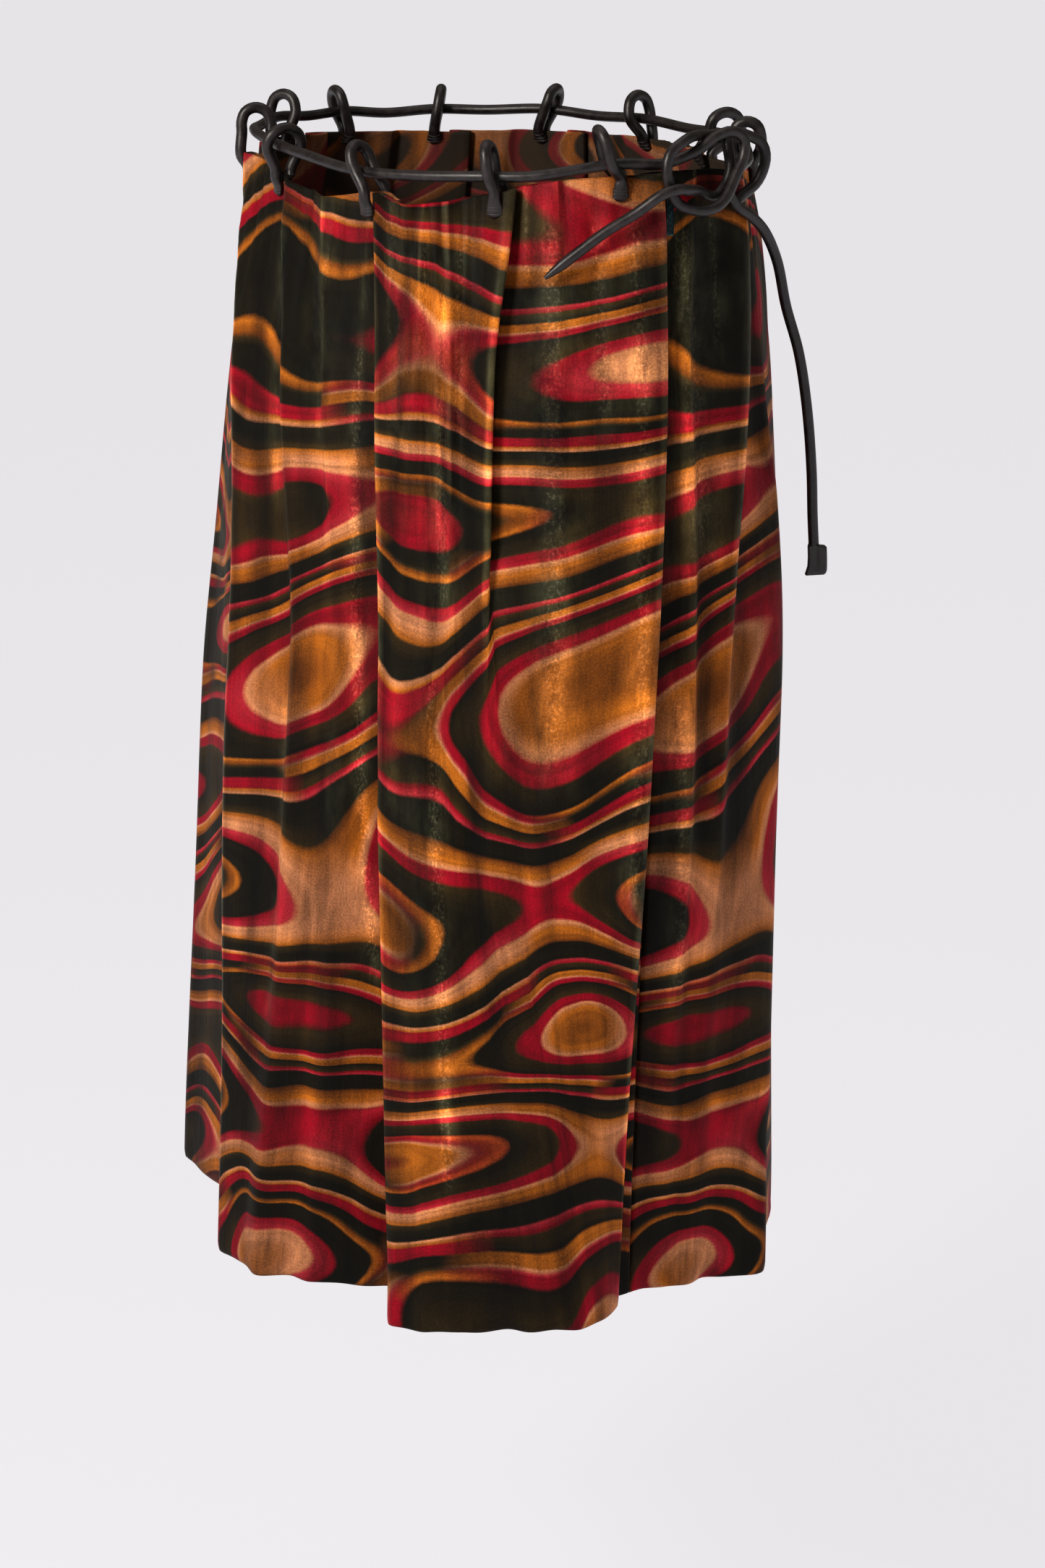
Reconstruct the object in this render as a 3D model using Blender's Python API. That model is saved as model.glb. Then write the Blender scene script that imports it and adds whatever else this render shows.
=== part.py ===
"""Velvet skirt: a hip-slung, printed velvet skirt worn on an unseen figure, held by a leather cord
belt tied in a bow. Front is -Y, the wearer's left is +X, up is +Z, and the origin is the middle of
the waist edge. Sizes are in metres, except reaches, rises and drops in tables, in millimetres."""

from collections import namedtuple
from math import atan2, cos, degrees, exp, hypot, pi, radians, sin

import bmesh
import bpy
from mathutils import Matrix, Vector

# Cloth
LENGTH = 0.640
CLOTH = 0.0014
ROUND = 0.0013
ROUNDER = 2.0
FOLD_GAP = 0.0034
FULL_LAP = 1.5
LAP_DEPTH = 8.5
SLOPE_PART = 0.2
STEPS = 8
MARKS = ((0.0, 0.5), (0.0, 0.5), (0.0, 0.5), (0.0, 0.33, 0.67))
SEAM_GAP = 0.0003
STATIONS = (0.0, 0.15, 0.45, 1.0)
ROWS = (0.0, 0.02, 0.06, 0.12, 0.20, 0.30, 0.42, 0.55, 0.70, 0.85, 1.0)
LEAN = radians(225.0)

# Cords and gaps
GAP = 0.0003
BELT = 0.0060
LOOP = 0.0064
LOOP_RISE = 25.0
LOOP_FOOT = 13.0
LOOP_INSIDE = 7.0
LOOP_SLACK = 0.6
FOOT_MARKS = (1.0, 0.6, 0.25)
OVER_EDGE = 1.5
UNDER_BELT = 7.5
LEAST_LEG = 3.0
ARCH_SIDE, ARCH_DOWN = 0.71, 0.29
SEAT_GAP = 0.0007
LOOP_STEP = 0.0054
LEG_LEAN, ARCH_START_LEAN, ARCH_LEAN = 0.5, 0.75, 0.9
BELT_STEP, BOW_STEP, TAIL_STEP = 0.0120, 0.0090, 0.0125
FINE_STEPS = 16
FAR_SIDE = 0.064
BELT_LAST = 436

# Zip
SLIDER = (0.0066, 0.0018, 0.0090)
CHEEK = (0.0009, 0.0036, 0.0032)
PIN = 0.0012
EYE = 0.0018
TAB = (0.0042, 0.0011, 0.0250)
PIN_OUT = 0.0022
SLIDER_RISE = 0.0020
SLIDER_EDGE = 0.0004
CHEEK_SUNK = 0.0002
EYE_TURN, EYE_STEPS = 290, 12
TAB_CHAMFER = 0.0010
ZIP_DROP = 0.0100
ZIP_BESIDE = 0.0030

# Base oval at each height, and how far it leans toward the wearer's front right
Section = namedtuple("Section", "name t half_x half_y lean")
SECTIONS = (
    Section("waist edge", 0.00, 0.1595, 0.1173, 0.000),
    Section("high hip", 0.05, 0.1650, 0.1208, 0.000),
    Section("hip", 0.10, 0.1702, 0.1240, 0.001),
    Section("seat", 0.20, 0.1785, 0.1301, 0.003),
    Section("thigh", 0.35, 0.1853, 0.1350, 0.005),
    Section("above knee", 0.50, 0.1895, 0.1376, 0.009),
    Section("knee", 0.75, 0.1920, 0.1388, 0.013),
    Section("hem", 1.00, 0.1975, 0.1417, 0.016),
)

# Folds around the skirt at the four stations: bearings in degrees from the front toward the
# wearer's left, reach out from and sink in from the base oval. The cloth meets the crest first
# where lead is out and the trough first where it is in; it overlaps where that turns it back.
Fold = namedtuple("Fold", "name lead crest reach trough sink")
FOLDS = (
    Fold("right back", "out", (-72, -69, -70, -72), (3, 5, 12, 22), (-58, -50, -44, -44), (2, 6, 14, 24)),
    Fold("right nose", "in", (-46, -34, -23, -20.5), (4, 5, 9, 12), (-41, -28, -17, -15), (4, 6, 12, 20)),
    Fold("right pleat", "in", (-20, -13.5, -4, -7), (2, 3, 5, 15), (-22, -15.5, -6, -12), (2, 2, 0, -10)),
    Fold("right kink", "in", (-5, -0.5, 6, 2), (2, 3, -2, 0), (-8, -2.5, 3, -2), (0, 0, 1, -6)),
    Fold("front nose", "in", (8.5, 12.5, 17, 22), (4, 5, 9, 13), (14, 20, 23, 19), (4, 9, 18, 40)),
    Fold("front swell", "out", (19, 22, 26, 29), (3, 4, 8, 14), (22, 25, 29, 35), (1, 0, -5, -9)),
    Fold("front tuck", "out", (26, 28, 31, 42), (2, 3, 4, 3), (29, 30, 33, 46), (2, 1, -2, 0)),
    Fold("left front nose", "out", (41, 37, 37, 52), (4, 5, 3, -1), (36, 33, 40, 56), (4, 4, 0, 3)),
    Fold("left tuck", "out", (50, 50, 50, 60), (2, 1, 2, -7), (52, 54, 54, 62), (2, 0, -1, 10)),
    Fold("seam fold", "out", (75.3, 73.8, 70.5, 69), (5, 6, 7, -26), (71, 67, 63, 65), (5, 6, 8, 38)),
    Fold("left pleat", "out", (86, 80, 81, 85), (1, 3, 2, -31), (88, 82, 83, 89), (1, 1, 3, 30)),
    Fold("left hip nose", "out", (106, 101, 91, 94), (4, 5, 3, -21), (101, 95, 94, 98), (4, 5, 2, 12)),
    Fold("left gather", "out", (114, 115, 115, 111), (1, 2, 8, 9), (117, 118, 122, 122), (1, 1, 2, 4)),
    Fold("left back rise", "out", (133, 134, 142, 149), (3, 5, 12, 28), (136, 138, 153, 166), (2, 3, 8, 16)),
    Fold("left back nose", "in", (160, 158, 162, 172), (3, 4, 7, 8), (164, 164, 168, 176), (4, 6, 10, 18)),
    Fold("back left tuck", "in", (173, 175, 179, 187), (2, 4, 8, 20), (170, 172, 175, 182), (2, 2, 1, 2)),
    Fold("back swell", "out", (184, 185, 187, 196), (2, 4, 8, 14), (187, 189, 193, 203), (2, 4, 10, 26)),
    Fold("back nose", "out", (199, 202, 207, 212), (4, 5, 8, 12), (194, 196, 202, 217), (4, 6, 10, 18)),
    Fold("back side tuck", "out", (212, 214, 219, 226), (2, 4, 6, 16), (214, 217, 224, 236), (2, 2, 3, 10)),
    Fold("back hip nose", "out", (228, 230, 237, 244), (4, 5, 8, 2), (223, 225, 231, 240), (4, 6, 11, 22)),
    Fold("back gather", "out", (241, 244, 249, 256), (2, 3, 6, 14), (244, 247, 253, 263), (2, 2, 2, 6)),
    Fold("side back nose", "out", (269, 268, 268, 269), (4, 5, 8, 10), (264, 262, 263, 272), (4, 6, 10, 15)),
)

# Where the side seams lie: after which turn of the cloth, and how far along to the next
RIGHT_SEAM = (1 * 4 + 1, 0.5)
LEFT_SEAM = (9 * 4 + 3, 0.45)

# Rise of the waist edge and of the hem above their levels, by bearing
Edge = namedtuple("Edge", "bearing waist hem")
EDGES = (
    Edge(-72, 6, 0), Edge(-45, 5, 0), Edge(-28, -1, 0), Edge(-8, -7, 0), Edge(12, -2, -3),
    Edge(23, -6, -5), Edge(40, 0, -4), Edge(60, 10, -3), Edge(85, 13, 5), Edge(105, 9, 4),
    Edge(130, 4, 2), Edge(160, 6, 0), Edge(200, 7, -1), Edge(240, 4, 2),
)

# Belt loops: bearing, how far the top leans along the edge, and how far in the inner leg is drawn
Loop = namedtuple("Loop", "name bearing lean spread")
LOOPS = (
    Loop("belt_loop_01", -46, -3, 2), Loop("belt_loop_02", -24.5, 4, 6), Loop("belt_loop_03", 8, -13, 1),
    Loop("belt_loop_04", 37, -6, 0), Loop("belt_loop_05", 65, -12, 0), Loop("belt_loop_06", 123, -2, 0),
    Loop("belt_loop_07", 150, -6, 1), Loop("belt_loop_08", 178, 5, 2), Loop("belt_loop_09", 205, -8, 0),
    Loop("belt_loop_10", 232, -4, 3), Loop("belt_loop_11", 257, 6, 0), Loop("belt_loop_12", 283, -5, 2),
)

# Cord routes along the waist: bearing, reach out from the waist oval, and rise above the waist
Way = namedtuple("Way", "bearing out rise")
BELT_ROUTE = (
    Way(100, 9.5, 12), Way(107, 7, 14), Way(114, 3, 15), Way(123, 0, 16), Way(136, 0, 16), Way(150, 0, 17),
    Way(164, 0, 16), Way(178, 0, 18), Way(191, 0, 17), Way(205, 0, 19), Way(219, 0, 17), Way(232, 0, 17),
    Way(245, 0, 15), Way(257, 0, 17), Way(270, 0, 16), Way(283, 0, 18), Way(297, 0, 16), Way(310, 0, 17),
    Way(333, 0, 16), Way(345, 0, 14), Way(363, 0, 9), Way(376, 0, 9), Way(394, 0, 11), Way(405, 0, 12),
    Way(422, 0, 18), Way(427, 0, 18.5), Way(436, 1, 17.5), Way(441, 3, 20), Way(446, 7, 25),
    Way(449.5, 10.5, 31), Way(453.5, 14, 33.5), Way(456.5, 17, 29),
    Way(456.3, 17.5, 20), Way(454, 17, 11), Way(452, 17, 4),
)
BOW_ROUTE = (
    Way(90, 17, -2), Way(87, 17, -6), Way(83, 16, -7), Way(78, 13, -3), Way(76, 12, 6), Way(75, 12, 15),
    Way(76, 11.2, 24), Way(80, 9.6, 30), Way(85, 5, 32), Way(91, 2.6, 31), Way(97, 3, 31), Way(100, 8, 31),
    Way(102, 13, 29), Way(104, 18, 25), Way(104.5, 20, 18), Way(104, 19, 10), Way(103, 16, 3),
    Way(99.7, 10.5, -3.9),
)
SHORT_TAIL_ROUTE = (
    Way(95, 10.6, 11), Way(93, 9.8, 3), Way(90, 10, -1), Way(87, 9.5, 0), Way(84, 12, 3), Way(79, 17.7, 5),
    Way(76, 20, 6), Way(73, 19, 4), Way(67, 14, -7), Way(61, 12, -16), Way(55, 12, -27), Way(48, 13.5, -41),
)
LONG_TAIL_ROUTE = (
    Way(96.3, 10, -4.2), Way(98.3, 11, -8.9), Way(103, 13.5, -15), Way(108, 17, -25), Way(113, 21, -43),
    Way(116, 25, -69), Way(118, 32, -96), Way(119.3, 37, -129), Way(120, 40, -164), Way(120.3, 41, -190),
    Way(120.5, 42, -208),
)
TIP = (0.0125, 0.0048, 0.0165)
TIP_TAPER = 0.78
TIP_EDGE = 0.0009

VELVET = (0.150, 0.040, 0.025)
LEATHER = (0.020, 0.015, 0.012)
PULL_METAL = (0.050, 0.110, 0.110)


def between(values, stops, t):
    """Cubic through the values at the stops, with slopes from their neighbours."""
    last = len(stops) - 1
    if t <= stops[0]:
        return values[0]
    if t >= stops[last]:
        return values[last]
    i = max(k for k in range(last) if stops[k] <= t)
    rates = [(values[k + 1] - values[k]) / (stops[k + 1] - stops[k]) for k in range(last)]

    def slope(k):
        if k == 0:
            return rates[0]
        if k == last:
            return rates[-1]
        a, b = rates[k - 1], rates[k]
        return 0.0 if a * b <= 0 else 2 * a * b / (a + b)

    h = stops[i + 1] - stops[i]
    u = (t - stops[i]) / h
    return (values[i] * (2 * u ** 3 - 3 * u ** 2 + 1) + slope(i) * h * (u ** 3 - 2 * u ** 2 + u)
            + values[i + 1] * (3 * u ** 2 - 2 * u ** 3) + slope(i + 1) * h * (u ** 3 - u ** 2))


def oval(t, bearing, out):
    """A point of the base oval at a height, moved out along its normal."""
    stops = [s.t for s in SECTIONS]
    half_x = between([s.half_x for s in SECTIONS], stops, t)
    half_y = between([s.half_y for s in SECTIONS], stops, t)
    lean = between([s.lean for s in SECTIONS], stops, t)
    b = radians(bearing)
    nx, ny = sin(b) / half_x, -cos(b) / half_y
    size = hypot(nx, ny)
    return (half_x * sin(b) + out * nx / size + lean * cos(LEAN),
            -half_y * cos(b) + out * ny / size + lean * sin(LEAN))


def turns(t):
    """Each fold's four turning points at a height, in the order that the cloth passes through them.

    Where a fold overlaps, the cloth turns back through a gap of FOLD_GAP at its crest and at its
    trough. Where it doesn't, the middle two points lie on the slope between crest and trough."""
    points = []
    for fold in FOLDS:
        crest_at, reach = between(fold.crest, STATIONS, t), between(fold.reach, STATIONS, t)
        trough_at, sink = between(fold.trough, STATIONS, t), between(fold.sink, STATIONS, t)
        back = (trough_at - crest_at) * (1 if fold.lead == "in" else -1)
        lapped = max(0.0, min(1.0, back / FULL_LAP))
        sink = max(sink, LAP_DEPTH * lapped - reach)
        crest = Vector(oval(t, crest_at, reach / 1000))
        trough = Vector(oval(t, trough_at, -sink / 1000))
        under_crest = crest.lerp(trough, SLOPE_PART)
        under_crest = under_crest.lerp(Vector(oval(t, crest_at, reach / 1000 - FOLD_GAP)), lapped)
        over_trough = trough.lerp(crest, SLOPE_PART)
        over_trough = over_trough.lerp(Vector(oval(t, trough_at, FOLD_GAP - sink / 1000)), lapped)
        four = [crest, under_crest, over_trough, trough]
        points += four if fold.lead == "out" else four[::-1]
    return points


def smooth_step(four, knots, u):
    """A point of the smooth curve through four points, between the middle two."""
    level = [Vector(p) for p in four]
    for depth in (1, 2):
        level = [level[k].lerp(level[k + 1], (u - knots[k]) / (knots[k + depth] - knots[k]))
                 for k in range(len(level) - 1)]
    return level[0].lerp(level[1], (u - knots[1]) / (knots[2] - knots[1]))


def smooth_span(four, steps):
    """The smooth curve between the middle two of four points."""
    knots = [0.0]
    for k in range(3):
        knots.append(knots[-1] + max(1e-4, (Vector(four[k + 1]) - Vector(four[k])).length) ** 0.5)
    return [smooth_step(four, knots, knots[1] + (knots[2] - knots[1]) * s / steps) for s in range(steps)]


def round_turns(curve, reach):
    """Each point becomes the average of the closed curve near it along its length."""
    n = len(curve)
    spans = [(curve[i] - curve[i - 1]).length for i in range(n)]
    out = []
    for i in range(n):
        whole = (spans[i] + spans[(i + 1) % n]) / 2
        total = curve[i] * whole
        for way in (-1, 1):
            j, far = i, 0.0
            while far <= 2.5 * reach:
                far += spans[j] if way < 0 else spans[(j + 1) % n]
                j = (j + way) % n
                share = (spans[j] + spans[(j + 1) % n]) / 2 * exp(-0.5 * (far / reach) ** 2)
                total, whole = total + curve[j] * share, whole + share
        out.append(total / whole)
    return out


def ring(t):
    """The middle of the cloth at a height, with the same steps between each two turns."""
    points = turns(t)
    n = len(points)
    curve = []
    for i in range(n):
        curve += smooth_span([points[(i + k - 1) % n] for k in range(4)], STEPS)
    return round_turns(curve, ROUND * (1 + ROUNDER * t))


def bearing_of(x, y):
    return degrees(atan2(x, -y))


def edge_rise(bearing, t):
    """Height of a point above its level, from the waves of the waist edge and the hem."""
    n = len(EDGES)
    b = (bearing - EDGES[0].bearing) % 360 + EDGES[0].bearing
    i = max(k for k in range(n) if EDGES[k].bearing <= b)
    rows = [EDGES[(i + k) % n] for k in (-1, 0, 1, 2)]
    stops = [r.bearing for r in rows]
    if i == 0:
        stops[0] -= 360
    for k in (2, 3):
        stops[k] += 360 if stops[k] <= EDGES[i].bearing else 0
    waist = between([r.waist for r in rows], stops, b)
    hem = between([r.hem for r in rows], stops, b)
    return (waist * (1 - t) ** 4 + hem * t ** 3) / 1000


def along(curve, turn, distance):
    """A point of the ring at a distance past one of its turns, and the way out there."""
    n = len(curve)
    i = turn * STEPS
    while True:
        a, b = curve[i % n], curve[(i + 1) % n]
        span = (b - a).length
        if distance <= span or i >= turn * STEPS + STEPS - 1:
            break
        distance -= span
        i += 1
    u = distance / span
    way = (b - curve[(i - 1) % n]).normalized().lerp((curve[(i + 2) % n] - a).normalized(), u)
    return a.lerp(b, u), Vector((way.y, -way.x)).normalized()


def span_length(curve, turn):
    n = len(curve)
    first = turn * STEPS
    return sum((curve[(first + k + 1) % n] - curve[(first + k) % n]).length for k in range(STEPS))


def panel_columns(curve, start, end):
    """Points and outward directions across a panel, from one seam to the other."""
    count = len(curve) // STEPS
    columns = []
    turn = start[0]
    while True:
        length = span_length(curve, turn)
        marks = [mark * length for mark in MARKS[turn % 4]]
        if turn == start[0]:
            seam = start[1] * length
            marks = [seam + SEAM_GAP / 2] + [mark for mark in marks if mark > seam + CLOTH]
        elif turn == end[0]:
            seam = end[1] * length
            marks = [mark for mark in marks if mark < seam - CLOTH] + [seam - SEAM_GAP / 2]
        columns += [along(curve, turn, mark) for mark in marks]
        if turn == end[0]:
            return columns
        turn = (turn + 1) % count


def paint(obj, name, colour, roughness, metallic=0.0):
    material = bpy.data.materials.new(name)
    material.use_nodes = True
    shader = material.node_tree.nodes["Principled BSDF"]
    shader.inputs["Base Color"].default_value = (*colour, 1.0)
    shader.inputs["Roughness"].default_value = roughness
    shader.inputs["Metallic"].default_value = metallic
    obj.data.materials.append(material)


def add_mesh(name, verts, faces):
    mesh = bpy.data.meshes.new(name)
    mesh.from_pydata(verts, [], faces)
    obj = bpy.data.objects.new(name, mesh)
    bpy.context.collection.objects.link(obj)
    return obj


def add_panel(name, rings, start, end):
    """A wall of cloth between two seams, through the rings."""
    rows = []
    for t, curve in rings:
        outer, inner = [], []
        for middle, way in panel_columns(curve, start, end):
            z = -LENGTH * t + edge_rise(bearing_of(middle.x, middle.y), t)
            for side, skin in ((1, outer), (-1, inner)):
                p = middle + way * side * CLOTH / 2
                skin.append((p.x, p.y, z))
        rows.append(outer + inner)
    width, wall = len(rows[0]), len(rows[0]) // 2
    faces = []
    for r in range(len(rows) - 1):
        top, low = r * width, (r + 1) * width
        for c in range(wall - 1):
            faces.append((top + c, low + c, low + c + 1, top + c + 1))
            faces.append((top + wall + c, top + wall + c + 1, low + wall + c + 1, low + wall + c))
        faces.append((top, top + wall, low + wall, low))
        faces.append((top + wall - 1, low + wall - 1, low + width - 1, top + width - 1))
    low = (len(rows) - 1) * width
    for c in range(wall - 1):
        faces.append((c, c + 1, wall + c + 1, wall + c))
        faces.append((low + c, low + wall + c, low + wall + c + 1, low + c + 1))
    obj = add_mesh(name, [v for row in rows for v in row], faces)
    paint(obj, name + "_velvet", VELVET, 0.65)
    return obj


def waist_point(bearing, out, rise, shift=0.0):
    """A point by the waist oval: out from it, above its level and shifted along it, in millimetres."""
    x, y = oval(0.0, bearing, out / 1000)
    x1, y1 = oval(0.0, bearing + 0.5, out / 1000)
    x0, y0 = oval(0.0, bearing - 0.5, out / 1000)
    way = Vector((x1 - x0, y1 - y0, 0.0)).normalized()
    return Vector((x, y, rise / 1000)) + way * shift / 1000


def add_cord(name, points, diameter, spacing):
    """A round cord on a smooth curve through its route's points."""
    ends = [points[0] * 2 - points[1]] + points + [points[-1] * 2 - points[-2]]
    fine = []
    for k in range(len(points) - 1):
        fine += smooth_span(ends[k:k + 4], FINE_STEPS)
    fine.append(points[-1])
    total = sum((fine[k + 1] - fine[k]).length for k in range(len(fine) - 1))
    count = max(3, round(total / spacing))
    path, mark, gone = [fine[0]], 1, 0.0
    for k in range(len(fine) - 1):
        step = (fine[k + 1] - fine[k]).length
        while mark < count and gone + step >= total * mark / count:
            path.append(fine[k].lerp(fine[k + 1], (total * mark / count - gone) / step))
            mark += 1
        gone += step
    path.append(fine[-1])
    curve = bpy.data.curves.new(name, "CURVE")
    curve.dimensions = "3D"
    curve.bevel_depth = diameter / 2
    curve.bevel_resolution = 2
    curve.use_fill_caps = True
    spline = curve.splines.new("POLY")
    spline.points.add(len(path) - 1)
    for point, p in zip(spline.points, path):
        point.co = (*p, 1.0)
    obj = bpy.data.objects.new(name, curve)
    bpy.context.collection.objects.link(obj)
    paint(obj, name + "_leather", LEATHER, 0.45)
    return obj


def cloth_reach(curve, bearing, side):
    """How far out from the waist oval a loop's middle lies where it touches the cloth on one side."""
    clear = CLOTH / 2 + SEAT_GAP + LOOP / 2
    curve = [middle for ends in ((RIGHT_SEAM, LEFT_SEAM), (LEFT_SEAM, RIGHT_SEAM))
             for middle, _ in panel_columns(curve, *ends)]
    base = Vector(oval(0.0, bearing, 0.0))
    way = (Vector(oval(0.0, bearing, 0.01)) - base).normalized()
    across = Vector((-way.y, way.x))
    outs = []
    for k in range(len(curve)):
        for u in (0.0, 0.25, 0.5, 0.75):
            off = curve[k - 1].lerp(curve[k], u) - base
            if abs(off.dot(across)) < clear and off.dot(way) > -FAR_SIDE:
                outs.append(side * off.dot(way) + (clear ** 2 - off.dot(across) ** 2) ** 0.5)
    return side * max(outs) * 1000


def belt_at(bearing):
    """How far out the belt lies, and how high, where a loop holds it."""
    bearing += 360 if bearing < BELT_ROUTE[0].bearing and bearing + 360 < BELT_LAST else 0
    rows = [way for way in BELT_ROUTE if way.bearing <= BELT_LAST]
    stops = [way.bearing for way in rows]
    return (between([way.out for way in rows], stops, bearing),
            between([way.rise for way in rows], stops, bearing))


def add_loop(loop, rings):
    """A leather loop over the waist edge and the belt, one foot outside the cloth and one inside."""
    edge = edge_rise(bearing_of(*oval(0.0, loop.bearing, 0.0)), 0.0) * 1000
    top = edge + LOOP_RISE
    belt_out, level = belt_at(loop.bearing)
    lower = min(edge + OVER_EDGE, level - UNDER_BELT)
    beside = (BELT / 2 + 2 * GAP + LOOP / 2) * 1000
    legs, reaches = [], []
    for side, foot, slack, spread in ((1, LOOP_FOOT, LOOP_SLACK, 0.0), (-1, LOOP_INSIDE, 0.0, loop.spread)):
        high, low = (cloth_reach(rings[k][1], loop.bearing, side) for k in (0, 1))
        down = foot / (LENGTH * ROWS[1] * 1000)
        points = [waist_point(loop.bearing, high + (low - high) * down * u, edge - foot * u)
                  for u in FOOT_MARKS]
        points.append(waist_point(loop.bearing, high, lower))
        tilt = (beside + slack - side * (high - belt_out)) / (level - lower)
        reach = belt_out + side * ((beside + slack) * hypot(1.0, tilt) + spread)
        points.append(waist_point(loop.bearing, reach, level, loop.lean * LEG_LEAN))
        legs.append(points)
        reaches.append(reach)
    middle, half = sum(reaches) / 2, (reaches[0] - reaches[1]) / 2
    for side, points in ((1, legs[0]), (-1, legs[1])):
        if top - half > level + LEAST_LEG:
            points.append(waist_point(loop.bearing, middle + side * half, top - half,
                                      loop.lean * ARCH_START_LEAN))
        points.append(waist_point(loop.bearing, middle + side * half * ARCH_SIDE, top - half * ARCH_DOWN,
                                  loop.lean * ARCH_LEAN))
    crown = waist_point(loop.bearing, middle, top, loop.lean)
    return add_cord(loop.name, legs[0] + [crown] + legs[1][::-1], LOOP, LOOP_STEP)


def route_points(route):
    return [waist_point(way.bearing, way.out, way.rise) for way in route]


def add_tip(end, before):
    """The folded leather tip that closes the long tail."""
    width, depth, height = TIP
    obj = add_mesh("tail_tip", [], [])
    bm = bmesh.new()
    bmesh.ops.create_cube(bm, size=1.0)
    bmesh.ops.scale(bm, verts=bm.verts, vec=(width, depth, height))
    for v in bm.verts:
        if v.co.z > 0:
            v.co.x *= TIP_TAPER
    bmesh.ops.bevel(bm, geom=bm.edges[:], offset=TIP_EDGE, segments=2, affect="EDGES")
    bm.to_mesh(obj.data)
    bm.free()
    way = (end - before).normalized()
    centre = end + way * (GAP + height / 2)
    along_edge = Vector((1.0, 1.0, 0.0)).normalized()
    side = (along_edge - way * along_edge.dot(way)).normalized()
    turn = Matrix((side, way.cross(side), -way)).transposed().to_4x4()
    obj.matrix_world = Matrix.Translation(centre) @ turn
    paint(obj, "tail_tip_leather", LEATHER, 0.50)
    return obj


def seam_point(row):
    """Where the left seam's zip lies in a row of the cloth, and the way out there."""
    t, curve = row
    place, way = along(curve, LEFT_SEAM[0], LEFT_SEAM[1] * span_length(curve, LEFT_SEAM[0]) + ZIP_BESIDE)
    z = -LENGTH * t + edge_rise(bearing_of(place.x, place.y), t)
    return Vector((place.x, place.y, z)), way.to_3d()


def box_mesh(bm, size, centre):
    made = bmesh.ops.create_cube(bm, size=1.0)["verts"]
    bmesh.ops.scale(bm, verts=made, vec=size)
    bmesh.ops.translate(bm, verts=made, vec=centre)


def add_helper(name, size, centre, frame):
    obj = add_mesh(name, [], [])
    bm = bmesh.new()
    box_mesh(bm, size, centre)
    bm.to_mesh(obj.data)
    bm.free()
    obj.matrix_world = frame
    obj.hide_render = True
    obj.display_type = "WIRE"
    return obj


def zip_frame(rings):
    """The zip's pin, and its axes along the cloth, out from it and up its slope."""
    top, out = seam_point(rings[0])
    low, _ = seam_point(rings[2])
    up = (top - low).normalized()
    side = up.cross(out).normalized()
    out = side.cross(up)
    pin = top - up * ZIP_DROP + out * (CLOTH / 2 + GAP + SLIDER[1] + PIN_OUT)
    return pin, Matrix((-side, out, up)).transposed().to_4x4()


def add_slider(rings):
    """The zip's slider, with the two cheeks and the pin that its pull turns on."""
    pin, turn = zip_frame(rings)
    frame = Matrix.Translation(pin) @ turn
    face = -PIN_OUT
    cheek_y = face + CHEEK[1] / 2 - CHEEK_SUNK
    cheek_x = SLIDER[0] / 2 - CHEEK[0] / 2
    slider = add_mesh("zip_slider", [], [])
    bm = bmesh.new()
    box_mesh(bm, SLIDER, (0.0, face - SLIDER[1] / 2, SLIDER_RISE))
    bmesh.ops.bevel(bm, geom=bm.edges[:], offset=SLIDER_EDGE, segments=2, affect="EDGES")
    bm.to_mesh(slider.data)
    bm.free()
    slider.matrix_world = frame
    for number, x in enumerate((-cheek_x, cheek_x), 1):
        cheek = add_helper(f"slider_cheek_{number}", CHEEK, (x, cheek_y, 0.0), frame)
        join(slider, cheek, "UNION")
    rod = add_mesh("slider_pin", [], [])
    bm = bmesh.new()
    across = Matrix.Rotation(pi / 2, 4, "Y")
    bmesh.ops.create_cone(bm, cap_ends=True, segments=12, radius1=PIN / 2, radius2=PIN / 2,
                          depth=2 * cheek_x, matrix=across)
    bm.to_mesh(rod.data)
    bm.free()
    rod.matrix_world = frame
    rod.hide_render = True
    rod.display_type = "WIRE"
    join(slider, rod, "UNION")
    paint(slider, "slider_metal", PULL_METAL, 0.35, 0.8)
    return slider


def join(obj, helper, how):
    step = obj.modifiers.new(how.lower() + "_" + helper.name, "BOOLEAN")
    step.operation = how
    step.solver = "EXACT"
    step.object = helper


def add_pull(rings):
    """The zip's pull: an eye around the slider's pin and a narrow tab hanging from it."""
    pin, turn = zip_frame(rings)
    width, thick, length = TAB
    inner, outer = EYE / 2, EYE / 2 + thick
    arc = [radians(180 - EYE_TURN * k / EYE_STEPS) for k in range(EYE_STEPS + 1)]
    profile = [(outer * cos(a), outer * sin(a)) for a in arc]
    profile += [(inner * cos(a), inner * sin(a)) for a in reversed(arc)]
    low = -length + TAB_CHAMFER
    profile += [(-inner, low), (-inner - thick / 2, -length), (-outer, low)]
    count = len(profile)
    verts = [(x, y, z) for x in (-width / 2, width / 2) for y, z in profile]
    faces = [tuple(range(count)), tuple(reversed(range(count, 2 * count)))]
    faces += [(k, k + count, (k + 1) % count + count, (k + 1) % count) for k in range(count)]
    pull = add_mesh("zip_pull", verts, faces)
    bm = bmesh.new()
    bm.from_mesh(pull.data)
    bmesh.ops.recalc_face_normals(bm, faces=bm.faces[:])
    bm.to_mesh(pull.data)
    bm.free()
    pull.matrix_world = Matrix.Translation(pin) @ turn
    paint(pull, "pull_metal", PULL_METAL, 0.35, 0.8)
    return pull


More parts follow.
